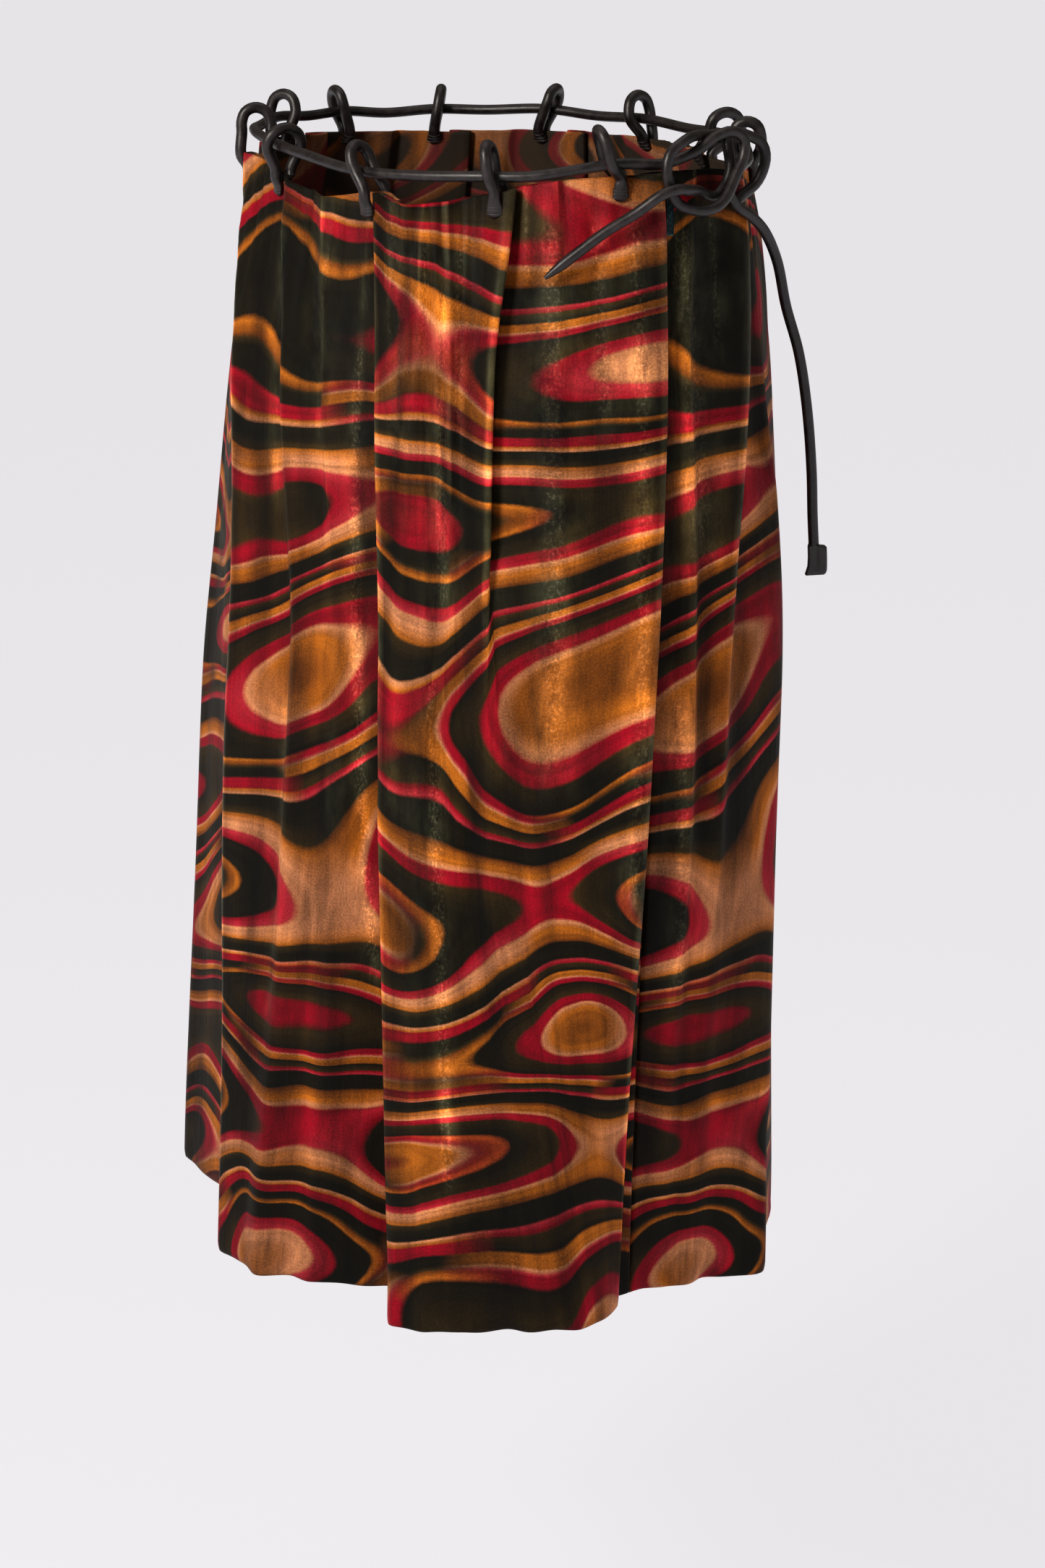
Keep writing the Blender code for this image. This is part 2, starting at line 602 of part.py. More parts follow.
def build():
    for obj in list(bpy.data.objects):
        bpy.data.objects.remove(obj, do_unlink=True)
    rings = [(t, ring(t)) for t in ROWS]
    add_panel("front_panel", rings, RIGHT_SEAM, LEFT_SEAM)
    add_panel("back_panel", rings, LEFT_SEAM, RIGHT_SEAM)
    for loop in LOOPS:
        add_loop(loop, rings)
    add_cord("belt", route_points(BELT_ROUTE), BELT, BELT_STEP)
    add_cord("bow", route_points(BOW_ROUTE), BELT, BOW_STEP)
    add_cord("tail_short", route_points(SHORT_TAIL_ROUTE), BELT, TAIL_STEP)
    long_points = route_points(LONG_TAIL_ROUTE)
    add_cord("tail_long", long_points, BELT, TAIL_STEP)
    add_tip(long_points[-1], long_points[-2])
    add_slider(rings)
    add_pull(rings)


build()
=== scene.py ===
"""The looks of a hip-slung velvet skirt with a tied leather cord belt, in the frame of its solids.

Metres, +Z up, -Y the wearer's front, +X the wearer's left. Reaches, rises and drops in tables are
in millimetres, bearings in degrees from the front toward the wearer's left."""

from collections import namedtuple
from math import cos, pi, radians, sin

import bmesh
import bpy
import numpy as np
from mathutils import Matrix, Vector, noise
from numpy.linalg import norm

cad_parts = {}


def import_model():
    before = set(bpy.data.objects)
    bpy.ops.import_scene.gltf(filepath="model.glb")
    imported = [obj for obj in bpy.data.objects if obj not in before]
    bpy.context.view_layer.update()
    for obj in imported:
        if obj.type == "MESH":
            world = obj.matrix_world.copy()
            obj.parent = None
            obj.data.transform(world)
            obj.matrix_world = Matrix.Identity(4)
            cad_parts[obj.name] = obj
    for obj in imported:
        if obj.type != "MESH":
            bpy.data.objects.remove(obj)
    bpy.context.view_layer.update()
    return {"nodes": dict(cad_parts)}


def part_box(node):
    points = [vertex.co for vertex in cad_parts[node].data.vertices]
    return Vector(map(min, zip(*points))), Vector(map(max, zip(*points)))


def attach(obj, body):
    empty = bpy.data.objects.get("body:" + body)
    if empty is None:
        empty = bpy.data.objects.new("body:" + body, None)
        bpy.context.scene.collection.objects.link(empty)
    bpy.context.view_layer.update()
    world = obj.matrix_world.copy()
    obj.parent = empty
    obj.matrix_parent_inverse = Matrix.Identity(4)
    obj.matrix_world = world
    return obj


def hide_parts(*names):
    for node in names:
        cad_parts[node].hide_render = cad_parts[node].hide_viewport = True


# Camera, at the photograph's angle
AZIMUTH = radians(45.0)
PITCH = radians(15.5)
CAMERA_FAR = 2.4
CAMERA_HIGH = 0.3
CAMERA_ASIDE = 0.015
FRAME_HIGH = 2168
FOCAL_PIXELS = 5800
SENSOR = 36.0

# Cloth, as in the solids
LENGTH = 0.64
CLOTH = 0.0014
ROUND = 0.0013
ROUNDER = 2.0
ROUND_TAIL = 2.5
FOLD_GAP = 0.0034
FULL_LAP = 1.5
LAP_DEPTH = 8.5
SLOPE_PART = 0.2
SEAM_GAP = 0.0003
STATIONS = (0.0, 0.15, 0.45, 1.0)
LEAN = radians(225.0)
WAIST_FADE, HEM_FADE = 4, 3

# Fineness of the shells
SPAN_POINTS = 12
LEAST_SPAN, LEAST_STEP = 1e-4, 1e-6
MEASURED_ROWS = 8
LEAST_STEPS = 4
ROW_STEP = 0.005
EDGE_ROWS = (0.0015, 0.003)

# Small forms of the cloth, and where pile is crushed on them, with gloss and a painted highlight, or lies
# dark beside them as painted shade
FADE = 0.05
CREASE_BELL = 2.6
CREASE_FULL = 0.002
CREST_CRUSH, CREST_FROM, CREST_MOST = 0.6, 0.45, 0.45
PAINTED_SHADE_MOST = 0.8
SEAM_CALM = 0.01
FOOT_CALM, FOOT_CALM_HALF = 0.03, 2.2
HEM_RIPPLE_FROM, HEM_TURN_FROM = 0.94, 0.99
HEM_TURN = 0.001
NOSE_LEAST, NOSE_RANGE = 110.0, 220.0
NOSE_SPREAD = (0.15, 0.22, 0.26, 0.22, 0.15)

# Pressed feet of the loops, and their thread
OUT_PRESS, IN_PRESS = 0.0125, 0.0075
PRESS_WIDE, PRESS_THIN = 0.4, 0.42
PRESS_SLOPE = 1.5
FOOT_END, FOOT_ROUND = 0.55, 0.004
FOOT_BED = 0.0001
THREAD = 0.0005
BARS, BAR_POINTS = 3, 11
BAR_FROM, BAR_TO = 0.04 * pi, 0.96 * pi
BAR_WIDE, BAR_DEEP = 0.5, 0.49

# The long tail's tip: how far down it, and its reach left, right, dent and half depth in millimetres
TIP_SIDES = 40
TIP_SQUARE = -0.75
DENT_AT, DENT_WIDE = 0.9, 1.1
TIP_LEVELS = (
    (-0.08, (3, 2.6, 0, 2.7)), (0, (3.5, 3, 0, 3)), (0.03, (3.6, 6.6, 0.3, 2.9)),
    (0.08, (3.6, 7.4, 0.42, 2.8)), (0.4, (3.7, 7.4, 0.42, 2.6)), (0.7, (4.2, 7.2, 0.34, 2.5)),
    (0.86, (5.2, 7, 0.22, 2.3)), (0.95, (5.8, 6.4, 0.1, 2.1)), (1, (5.4, 5.4, 0.05, 1.4)),
)

# Cords, as in the solids
BELT = 0.006
LOOP = 0.0064
LOOP_RISE = 25.0
LOOP_FOOT = 13.0
LOOP_INSIDE = 7.0
LOOP_SLACK = 0.6
FOOT_MARKS = (1.0, 0.6, 0.25)
OVER_EDGE = 1.5
UNDER_BELT = 7.5
LEAST_LEG = 3.0
ARCH_SIDE, ARCH_DOWN = 0.71, 0.29
LEG_LEAN, ARCH_START_LEAN, ARCH_LEAN = 0.5, 0.75, 0.9
SEAT_GAP = 0.0007
BELT_LAST = 436
GAP = 0.0003
FOOT_ROW = 0.02
LOOP_NEAR = 0.064
POINT_LEAST, POINT_LONG, POINT_CURVE = 0.34, 0.012, 0.8
PATH_POINTS = 16
CORD_STEP, CORD_FINENESS, LOOP_STEP = 0.003, 6, 0.002
LOOP_SIDES, THREAD_SIDES = 16, 6
WAY_STEP, WAY_REACH = 0.5, 10

# Sections of the base oval: how far down each lies, its two half widths and its lean
SECTIONS = (
    (0, 0.1595, 0.1173, 0), (0.05, 0.165, 0.1208, 0), (0.1, 0.1702, 0.124, 0.001),
    (0.2, 0.1785, 0.1301, 0.003), (0.35, 0.1853, 0.135, 0.005), (0.5, 0.1895, 0.1376, 0.009),
    (0.75, 0.192, 0.1388, 0.013), (1, 0.1975, 0.1417, 0.016),
)

# Folds in their order round the skirt: whether the outer crest or the inner trough comes first, and
# at each station the crest's bearing and reach out and the trough's bearing and sink in
Fold = namedtuple("Fold", "lead crest reach trough sink")
FOLDS = [Fold(*row) for row in (
    # Right side
    ("out", (-72, -69, -70, -72), (3, 5, 12, 22), (-58, -50, -44, -44), (2, 6, 14, 24)),
    ("in", (-46, -34, -23, -20.5), (4, 5, 9, 12), (-41, -28, -17, -15), (4, 6, 12, 20)),
    ("in", (-20, -13.5, -4, -7), (2, 3, 5, 15), (-22, -15.5, -6, -12), (2, 2, 0, -10)),
    ("in", (-5, -0.5, 6, 2), (2, 3, -2, 0), (-8, -2.5, 3, -2), (0, 0, 1, -6)),
    # Front
    ("in", (8.5, 12.5, 17, 22), (4, 5, 9, 13), (14, 20, 23, 19), (4, 9, 18, 40)),
    ("out", (19, 22, 26, 29), (3, 4, 8, 14), (22, 25, 29, 35), (1, 0, -5, -9)),
    ("out", (26, 28, 31, 42), (2, 3, 4, 3), (29, 30, 33, 46), (2, 1, -2, 0)),
    ("out", (41, 37, 37, 52), (4, 5, 3, -1), (36, 33, 40, 56), (4, 4, 0, 3)),
    ("out", (50, 50, 50, 60), (2, 1, 2, -7), (52, 54, 54, 62), (2, 0, -1, 10)),
    # Left side
    ("out", (75.3, 73.8, 70.5, 69), (5, 6, 7, -26), (71, 67, 63, 65), (5, 6, 8, 38)),
    ("out", (86, 80, 81, 85), (1, 3, 2, -31), (88, 82, 83, 89), (1, 1, 3, 30)),
    ("out", (106, 101, 91, 94), (4, 5, 3, -21), (101, 95, 94, 98), (4, 5, 2, 12)),
    ("out", (114, 115, 115, 111), (1, 2, 8, 9), (117, 118, 122, 122), (1, 1, 2, 4)),
    # Back
    ("out", (133, 134, 142, 149), (3, 5, 12, 28), (136, 138, 153, 166), (2, 3, 8, 16)),
    ("in", (160, 158, 162, 172), (3, 4, 7, 8), (164, 164, 168, 176), (4, 6, 10, 18)),
    ("in", (173, 175, 179, 187), (2, 4, 8, 20), (170, 172, 175, 182), (2, 2, 1, 2)),
    ("out", (184, 185, 187, 196), (2, 4, 8, 14), (187, 189, 193, 203), (2, 4, 10, 26)),
    ("out", (199, 202, 207, 212), (4, 5, 8, 12), (194, 196, 202, 217), (4, 6, 10, 18)),
    ("out", (212, 214, 219, 226), (2, 4, 6, 16), (214, 217, 224, 236), (2, 2, 3, 10)),
    ("out", (228, 230, 237, 244), (4, 5, 8, 2), (223, 225, 231, 240), (4, 6, 11, 22)),
    ("out", (241, 244, 249, 256), (2, 3, 6, 14), (244, 247, 253, 263), (2, 2, 2, 6)),
    # Right side
    ("out", (269, 268, 268, 269), (4, 5, 8, 10), (264, 262, 263, 272), (4, 6, 10, 15)),
)]

# The seams: the turn after which each lies, with four to a fold, and how far on toward the next
RIGHT_SEAM = (1 * 4 + 1, 0.5)
LEFT_SEAM = (9 * 4 + 3, 0.45)

Panel = namedtuple("Panel", "name node start end step print_shift flat area")
PANELS = (
    Panel("front_velvet", "front_panel", RIGHT_SEAM, LEFT_SEAM, 0.0022, 0.0, (0.43, 0.66), 0.26),
    Panel("back_velvet", "back_panel", LEFT_SEAM, RIGHT_SEAM, 0.0042, 0.31, (1.04, 0.66), 0.6),
)

# The rise of the waist edge and of the hem round the skirt
Edge = namedtuple("Edge", "bearing waist hem")
EDGES = [Edge(*row) for row in (
    (-72, 6, 0), (-45, 5, 0), (-28, -1, 0), (-8, -7, 0), (12, -2, -3),
    (23, -6, -5), (40, 0, -4), (60, 10, -3), (85, 13, 5), (105, 9, 4),
    (130, 4, 2), (160, 6, 0), (200, 7, -1), (240, 4, 2),
)]

# Soft creases between the folds: bearings and heights where each starts and ends, how far it stands
# out or in, and its width
Crease = namedtuple("Crease", "top_at low_at top low reach width")
CREASES = [Crease(*row) for row in (
    # Front
    (25, 20.5, 0, 0.52, -1.7, 4), (27.5, 23, 0, 0.55, 1.5, 4), (8.5, 8.5, 0, 0.1, 1.4, 3),
    (18.5, 20, 0, 0.12, 1.3, 3), (52, 51, 0, 0.09, 1.5, 3), (-6, -5, 0, 0.14, 1.3, 4),
    (20, 22, 0, 0.1, 1.2, 8), (3, 5, 0, 0.08, 1.4, 7), (-14, -12, 0, 0.09, -1.3, 6),
    (44, 45, 0.03, 0.52, 2.2, 12), (57, 56, 0.05, 0.4, -1.6, 14), (28, 30, 0.42, 0.92, 1.8, 14),
    (2, 7, 0.18, 0.6, 1.6, 8),
    # Left side
    (79, 78.5, 0.06, 0.6, -1.5, 4), (82, 81.5, 0.06, 0.62, 1.6, 4), (97, 96, 0, 0.12, 1.4, 4),
    (92.5, 91, 0, 0.14, -1.4, 4), (66, 64, 0.2, 0.75, -1.5, 10), (96, 93, 0, 0.16, 1.3, 6),
    (110, 106, 0.02, 0.22, -1.5, 8), (104, 103, 0.25, 0.85, 2, 12),
    # Back
    (126, 124, 0, 0.12, 1.2, 7), (147, 150, 0.2, 0.8, 1.8, 14), (168, 169, 0, 0.11, 1.2, 7),
    (192, 190, 0, 0.14, -1.3, 7), (197, 200, 0.3, 0.9, 1.8, 14), (219, 220, 0, 0.12, 1.3, 7),
    (229, 233, 0.25, 0.78, 1.8, 12),
    # Right side
    (250, 251, 0, 0.1, -1.2, 7), (277, 278, 0, 0.12, 1.3, 7), (300, 304, 0.12, 0.6, 1.6, 12),
)]

# Unevenness all over the cloth: its scale round the skirt and down it, its shift, how far it stands
# out in metres, and how fast it fades below the waist
Uneven = namedtuple("Uneven", "scale down shift reach fade")
UNEVEN = (
    Uneven(4.2, 2.6, (0, 0), 0.0016, 0), Uneven(13.0, 4.5, (3, 1), 0.0008, 0),
    Uneven(21.0, 2.0, (7, 2), 0.0034, 10),
)

# The hem's small waves, outward and up
Wave = namedtuple("Wave", "scale shift reach")
HEM_WAVES = (Wave(8.0, (5, 9, 2), 0.0034), Wave(9.5, (2, 4, 8), 0.0019))

# Worn, crushed streaks of pile, with gloss and painted highlights: bearings and heights where each starts
# and ends, width and strength
Streak = namedtuple("Streak", "top_at low_at top low width strength")
STREAKS = [Streak(*row) for row in (
    # Front
    (7.5, 13, 0.12, 0.7, 3.2, 1), (32, 36, 0.4, 0.88, 3, 0.96), (57, 56, 0.02, 0.5, 6, 0.84),
    (33, 34, 0.06, 0.36, 4.5, 0.84), (21, 23, 0.02, 0.22, 4, 0.7), (-4, -3, 0.04, 0.22, 3, 0.8),
    (8, 8, 0, 0.12, 1.6, 0.84), (19, 20, 0, 0.14, 1.6, 0.84), (28, 28, 0.02, 0.14, 2.9, 0.84),
    (37, 37, 0.02, 0.2, 3.2, 0.84), (52, 52, 0, 0.1, 1.6, 0.84), (-6, -4, 0, 0.22, 9, 0.4),
    (-27, -20, 0.03, 0.28, 4, 0.6), (-10, -12, 0.45, 0.75, 3, 0.6),
    # Left side
    (73.2, 70.2, 0.02, 0.62, 3.6, 0.86), (83, 84, 0.02, 0.34, 8, 0.84), (92, 90, 0.02, 0.16, 2.9, 0.84),
    (60, 58, 0, 0.22, 11, 0.36), (66, 66, 0.02, 0.2, 3.9, 0.84), (79, 82, 0.42, 0.72, 3.5, 0.86),
    # Back
    (140, 146, 0.1, 0.5, 4, 0.7), (186, 190, 0.3, 0.75, 3, 0.95), (207, 210, 0.04, 0.3, 4, 0.8),
    (226, 231, 0.06, 0.36, 4, 0.7),
    # Right side
    (263, 262, 0.3, 0.7, 3, 0.92), (290, 293, 0.05, 0.4, 4, 0.7),
)]

# Painted shade in the hollows beside the folds, on their side away from the light
PAINTED_SHADES = [Streak(*row) for row in (
    # Front
    (39.5, 41, 0.02, 0.62, 3.6, 0.9), (7, 13, 0, 0.4, 3.6, 1), (13, 19.5, 0.38, 1, 4.2, 1),
    (24.2, 20.2, 0.02, 0.52, 2.4, 0.8), (11, 10.5, 0, 0.14, 2.4, 0.8), (16, 17, 0, 0.16, 2.4, 0.7),
    (31, 31, 0, 0.1, 2.4, 0.7), (-9, -3, 0, 0.7, 4, 0.7), (-24, -17, 0.02, 0.9, 4.5, 0.8),
    (50, 56, 0.62, 1, 7, 0.5), (2, 4, 0.6, 1, 5, 0.5),
    # Left side
    (77.5, 75.5, 0, 0.66, 4.5, 0.9), (84.5, 84, 0.08, 0.6, 2.6, 0.6), (92, 94, 0.02, 0.6, 4, 0.7),
    # Back
    (128, 134, 0.04, 0.8, 5, 0.6), (168, 172, 0.04, 0.9, 4.5, 0.7), (193, 198, 0.04, 0.8, 5, 0.7),
    (220, 232, 0.04, 0.8, 5, 0.7),
    # Right side
    (258, 262, 0.04, 0.9, 5, 0.6),
)]

# Loops: how far each leans along the waist, and how far its inner leg stands off the belt
Loop = namedtuple("Loop", "bearing lean spread")
LOOPS = [Loop(*row) for row in (
    (-46, -3, 2), (-24.5, 4, 6), (8, -13, 1), (37, -6, 0), (65, -12, 0), (123, -2, 0),
    (150, -6, 1), (178, 5, 2), (205, -8, 0), (232, -4, 3), (257, 6, 0), (283, -5, 2),
)]

# Cord routes along the waist: bearing, reach out from the waist oval, and rise above the waist
BELT_ROUTE = (
    (100, 9.5, 12), (107, 7, 14), (114, 3, 15), (123, 0, 16), (136, 0, 16), (150, 0, 17),
    (164, 0, 16), (178, 0, 18), (191, 0, 17), (205, 0, 19), (219, 0, 17), (232, 0, 17),
    (245, 0, 15), (257, 0, 17), (270, 0, 16), (283, 0, 18), (297, 0, 16), (310, 0, 17),
    (333, 0, 16), (345, 0, 14), (363, 0, 9), (376, 0, 9), (394, 0, 11), (405, 0, 12),
    (422, 0, 18), (427, 0, 18.5), (436, 1, 17.5), (441, 3, 20), (446, 7, 25),
    (449.5, 10.5, 31), (453.5, 14, 33.5), (456.5, 17, 29), (456.3, 17.5, 20), (454, 17, 11),
    (452, 17, 4),
)
BOW_ROUTE = (
    (90, 17, -2), (87, 17, -6), (83, 16, -7), (78, 13, -3), (76, 12, 6), (75, 12, 15),
    (76, 11.2, 24), (80, 9.6, 30), (85, 5, 32), (91, 2.6, 31), (97, 3, 31), (100, 8, 31),
    (102, 13, 29), (104, 18, 25), (104.5, 20, 18), (104, 19, 10), (103, 16, 3),
    (99.7, 10.5, -3.9),
)
SHORT_TAIL_ROUTE = (
    (95, 10.6, 11), (93, 9.8, 3), (90, 10, -1), (87, 9.5, 0), (84, 12, 3), (79, 17.7, 5),
    (76, 20, 6), (73, 19, 4), (67, 14, -7), (61, 12, -16), (55, 12, -27), (48, 13.5, -41),
)
LONG_TAIL_ROUTE = (
    (96.3, 10, -4.2), (98.3, 11, -8.9), (103, 13.5, -15), (108, 17, -25), (113, 21, -43),
    (116, 25, -69), (118, 32, -96), (119.3, 37, -129), (120, 40, -164), (120.3, 41, -190),
    (120.5, 42, -208),
)

# What the knot hides: how each stretch runs on to meet its neighbours
BELT_ON = ((450.8, 17, 0),)
BOW_BEFORE, BOW_ON = ((91, 17, 1),), ((98.4, 10, -6.5),)
SHORT_BEFORE = ((98, 3.2, 29), (97, 6, 23), (96, 8.8, 17))
LONG_BEFORE = ((95, 9.8, 4), (95.2, 9.8, 0))


def main():
    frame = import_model()
    add_camera()
    leather = leather_material()
    add_cords(leather)
    rows = [(t, ring(t)) for t in row_heights()]
    materials = velvet_material("velvet"), velvet_material("velvet_reverse", inside=True)
    for panel in PANELS:
        add_panel(panel, rows, materials)
    add_loops(rows, leather, thread_material())
    metal = metal_material()
    for name in ("zip_slider", "zip_pull"):
        frame["nodes"][name].data.materials.clear()
        frame["nodes"][name].data.materials.append(metal)
    add_stage()
    add_lights()


def placed_object(name, data):
    """An object in the scene for its mesh, curve, light or camera."""
    obj = bpy.data.objects.new(name, data)
    bpy.context.collection.objects.link(obj)
    return obj


# Shape of the cloth

def between(values, stops, t):
    """Cubic through the values at the stops, with slopes from their neighbours."""
    last = len(stops) - 1
    t = min(max(t, stops[0]), stops[last])
    i = max(k for k in range(last) if stops[k] <= t)
    rates = [(values[k + 1] - values[k]) / (stops[k + 1] - stops[k]) for k in range(last)]

    def slope(k):
        a, b = rates[max(k - 1, 0)], rates[min(k, last - 1)]
        return 0.0 if a * b <= 0 else 2 * a * b / (a + b)

    h = stops[i + 1] - stops[i]
    u = (t - stops[i]) / h
    return (values[i] * (2 * u ** 3 - 3 * u ** 2 + 1) + slope(i) * h * (u ** 3 - 2 * u ** 2 + u)
            + values[i + 1] * (3 * u ** 2 - 2 * u ** 3) + slope(i + 1) * h * (u ** 3 - u ** 2))


def clamp(value):
    return min(1.0, max(0.0, value))


def smooth(share):
    """A share from 0 to 1 that starts and ends slowly."""
    return share * share * (3 - 2 * share)


def bell(off, half):
    """1 at the middle, fading to either side."""
    return np.exp(-0.5 * (off / half) ** 2)


def oval_sizes(t):
    """The base oval's half widths and lean at a height."""
    stops, *sizes = zip(*SECTIONS)
    return [between(row, stops, t) for row in sizes]


def oval(t, bearing, out):
    """A point of the base oval at a height, moved out along its normal."""
    half_x, half_y, lean = oval_sizes(t)
    b = radians(bearing)
    nx, ny = sin(b) / half_x, -cos(b) / half_y
    size = np.hypot(nx, ny)
    return np.array((half_x * sin(b) + out * nx / size + lean * cos(LEAN),
                     -half_y * cos(b) + out * ny / size + lean * sin(LEAN)))


def turns(t):
    """Each fold's four turning points at a height, in the order that the cloth passes through them."""
    points = []
    for fold in FOLDS:
        crest_at, reach, trough_at, sink = (between(row, STATIONS, t) for row in fold[1:])
        back = (trough_at - crest_at) * (1 if fold.lead == "in" else -1)
        lapped = clamp(back / FULL_LAP)
        sink = max(sink, LAP_DEPTH * lapped - reach)
        crest, trough = oval(t, crest_at, reach / 1000), oval(t, trough_at, -sink / 1000)
        under_crest = crest + (trough - crest) * SLOPE_PART
        under_crest += (oval(t, crest_at, reach / 1000 - FOLD_GAP) - under_crest) * lapped
        over_trough = trough + (crest - trough) * SLOPE_PART
        over_trough += (oval(t, trough_at, FOLD_GAP - sink / 1000) - over_trough) * lapped
        four = [crest, under_crest, over_trough, trough]
        points += four if fold.lead == "out" else four[::-1]
    return points


def smooth_span(four, steps):
    """The smooth curve between the middle two of four points."""
    four = [np.asarray(p, float) for p in four]
    knots = [0.0]
    for k in range(3):
        knots.append(knots[-1] + max(LEAST_SPAN, norm(four[k + 1] - four[k])) ** 0.5)
    u = (knots[1] + (knots[2] - knots[1]) * np.arange(steps) / steps)[:, None]
    level = four
    for depth in (1, 2):
        level = [level[k] + (level[k + 1] - level[k]) * (u - knots[k]) / (knots[k + depth] - knots[k])
                 for k in range(len(level) - 1)]
    return level[0] + (level[1] - level[0]) * (u - knots[1]) / (knots[2] - knots[1])


def round_turns(curve, reach):
    """Each point becomes the average of the closed curve near it along its length."""
    spans = norm(curve - np.roll(curve, 1, axis=0), axis=1)
    shares = (spans + np.roll(spans, -1)) / 2
    total, whole = curve * shares[:, None], shares.copy()
    for way in (1, -1):
        far, k = np.zeros(len(curve)), 0
        while far.min() <= ROUND_TAIL * reach:
            k += 1
            far = far + np.roll(spans, -k if way > 0 else k - 1)
            share = np.roll(shares, -way * k) * bell(far, reach)
            total, whole = total + np.roll(curve, -way * k, axis=0) * share[:, None], whole + share
    return total / whole[:, None]


def ring(t):
    """The middle of the cloth at a height, with SPAN_POINTS steps between each two turns."""
    points = turns(t)
    n = len(points)
    curve = [smooth_span([points[(i + k - 1) % n] for k in range(4)], SPAN_POINTS) for i in range(n)]
    return round_turns(np.vstack(curve), ROUND * (1 + ROUNDER * t))


def row_heights():
    """Heights of the shells' rows, closer at the two edges."""
    count = round(LENGTH / ROW_STEP)
    edge = [row / LENGTH for row in EDGE_ROWS]
    return [0.0] + edge + [k / count for k in range(1, count)] + [1 - d for d in edge[::-1]] + [1.0]


def edge_profile():
    """The waist edge's and the hem's rise at each degree round the skirt, in millimetres."""
    n = len(EDGES)
    table = []
    for degree in range(360):
        b = (degree - EDGES[0].bearing) % 360 + EDGES[0].bearing
        i = max(k for k in range(n) if EDGES[k].bearing <= b)
        stops, *rises = (list(row) for row in zip(*(EDGES[(i + k) % n] for k in (-1, 0, 1, 2))))
        if i == 0:
            stops[0] -= 360
        for k in (2, 3):
            stops[k] += 360 if stops[k] <= EDGES[i].bearing else 0
        table.append([between(row, stops, b) for row in rises])
    return np.array(table + table[:1])


PROFILE = edge_profile()


def edge_rise(bearing, t):
    """Height of points above their level, from the waves of the waist edge and the hem."""
    b = np.asarray(bearing) % 360
    waist, hem = (np.interp(b, np.arange(361), PROFILE[:, k]) for k in (0, 1))
    return (waist * (1 - t) ** WAIST_FADE + hem * t ** HEM_FADE) / 1000


def bearing_of(points):
    return np.degrees(np.arctan2(points[..., 0], -points[..., 1]))


def ring_steps(curve):
    return norm(np.roll(curve, -1, axis=0) - curve, axis=1)


def column_fractions(rows, panel):
    """The columns across a panel: the span between two turns that each is in, and how far along it."""
    lengths = [ring_steps(curve).reshape(-1, SPAN_POINTS).sum(axis=1) for _, curve in rows[::MEASURED_ROWS]]
    lengths = np.max(lengths, axis=0)
    columns, turn = [], panel.start[0]
    while True:
        a = panel.start[1] if turn == panel.start[0] else 0.0
        b = panel.end[1] if turn == panel.end[0] else 1.0
        steps = max(LEAST_STEPS, round((b - a) * lengths[turn] / panel.step))
        columns += [(turn, a + (b - a) * k / steps) for k in range(steps)]
        if turn == panel.end[0]:
            return columns + [(turn, b)]
        turn = (turn + 1) % len(lengths)


def points_at(curve, columns):
    """The columns' places on a ring, in the plane, and their distances along it."""
    marks = np.concatenate(([0.0], np.cumsum(ring_steps(curve))))
    whole = np.vstack((curve, curve[:1]))
    turn, fraction = np.array(columns).T
    a, b = (marks[(turn.astype(int) + k) * SPAN_POINTS] for k in (0, 1))
    places = a + (b - a) * fraction
    points = np.column_stack([np.interp(places, marks, whole[:, k]) for k in (0, 1)])
    places = places + marks[-1] * (places < places[0])
    return points, places - places[0]


def window(t, top, low):
    """1 between two heights, fading to 0 past them, except at the waist edge."""
    rise = 1.0 if top <= 0 else clamp((t - top) / FADE + 0.5)
    return smooth(rise) * smooth(clamp((low - t) / FADE + 0.5))


def around(bearing, centre):
    """Degrees from a centre, the short way round."""
    return (bearing - centre + 180) % 360 - 180


def off_line(row, bearing, t):
    """Degrees from the line that a crease or streak runs down."""
    along = (t - row.top) / (row.low - row.top)
    return around(bearing, row.top_at + (row.low_at - row.top_at) * along)


def ways_round(bearing):
    return [Vector((cos(a), sin(a), 0.0)) for a in np.radians(bearing)]


def crease_reach(bearing, t):
    """How far the soft creases and the cloth's small unevenness move it out, in metres."""
    out = np.zeros(len(bearing))
    for crease in CREASES:
        strength = window(t, crease.top, crease.low) * crease.reach / 1000
        if strength:
            out += strength * bell(off_line(crease, bearing, t), crease.width / CREASE_BELL)
    for k, way in enumerate(ways_round(bearing)):
        for kind in UNEVEN:
            bump = noise.noise(way * kind.scale + Vector((*kind.shift, t * kind.down)))
            out[k] += kind.reach * bump * (1 - t) ** kind.fade
    return out


def hem_ripple(bearing, t):
    """The hem's own small waves, outward and up, in metres, and its slight turn inward."""
    near = clamp((t - HEM_RIPPLE_FROM) / (1 - HEM_RIPPLE_FROM)) ** 2
    if near == 0:
        return 0.0, 0.0
    out, up = (np.array([noise.noise(way * wave.scale + Vector(wave.shift)) for way in ways_round(bearing)])
               * wave.reach * near for wave in HEM_WAVES)
    return out - clamp((t - HEM_TURN_FROM) / (1 - HEM_TURN_FROM)) ** 2 * HEM_TURN, up


def streak_strength(streaks, bearing, t):
    """How strong the streaks are along a row, from 0 to 1."""
    out = np.zeros(len(bearing))
    for streak in streaks:
        strength = window(t, streak.top, streak.low) * streak.strength
        if strength > 0:
            out = np.maximum(out, strength * bell(off_line(streak, bearing, t), streak.width / 2))
    return out


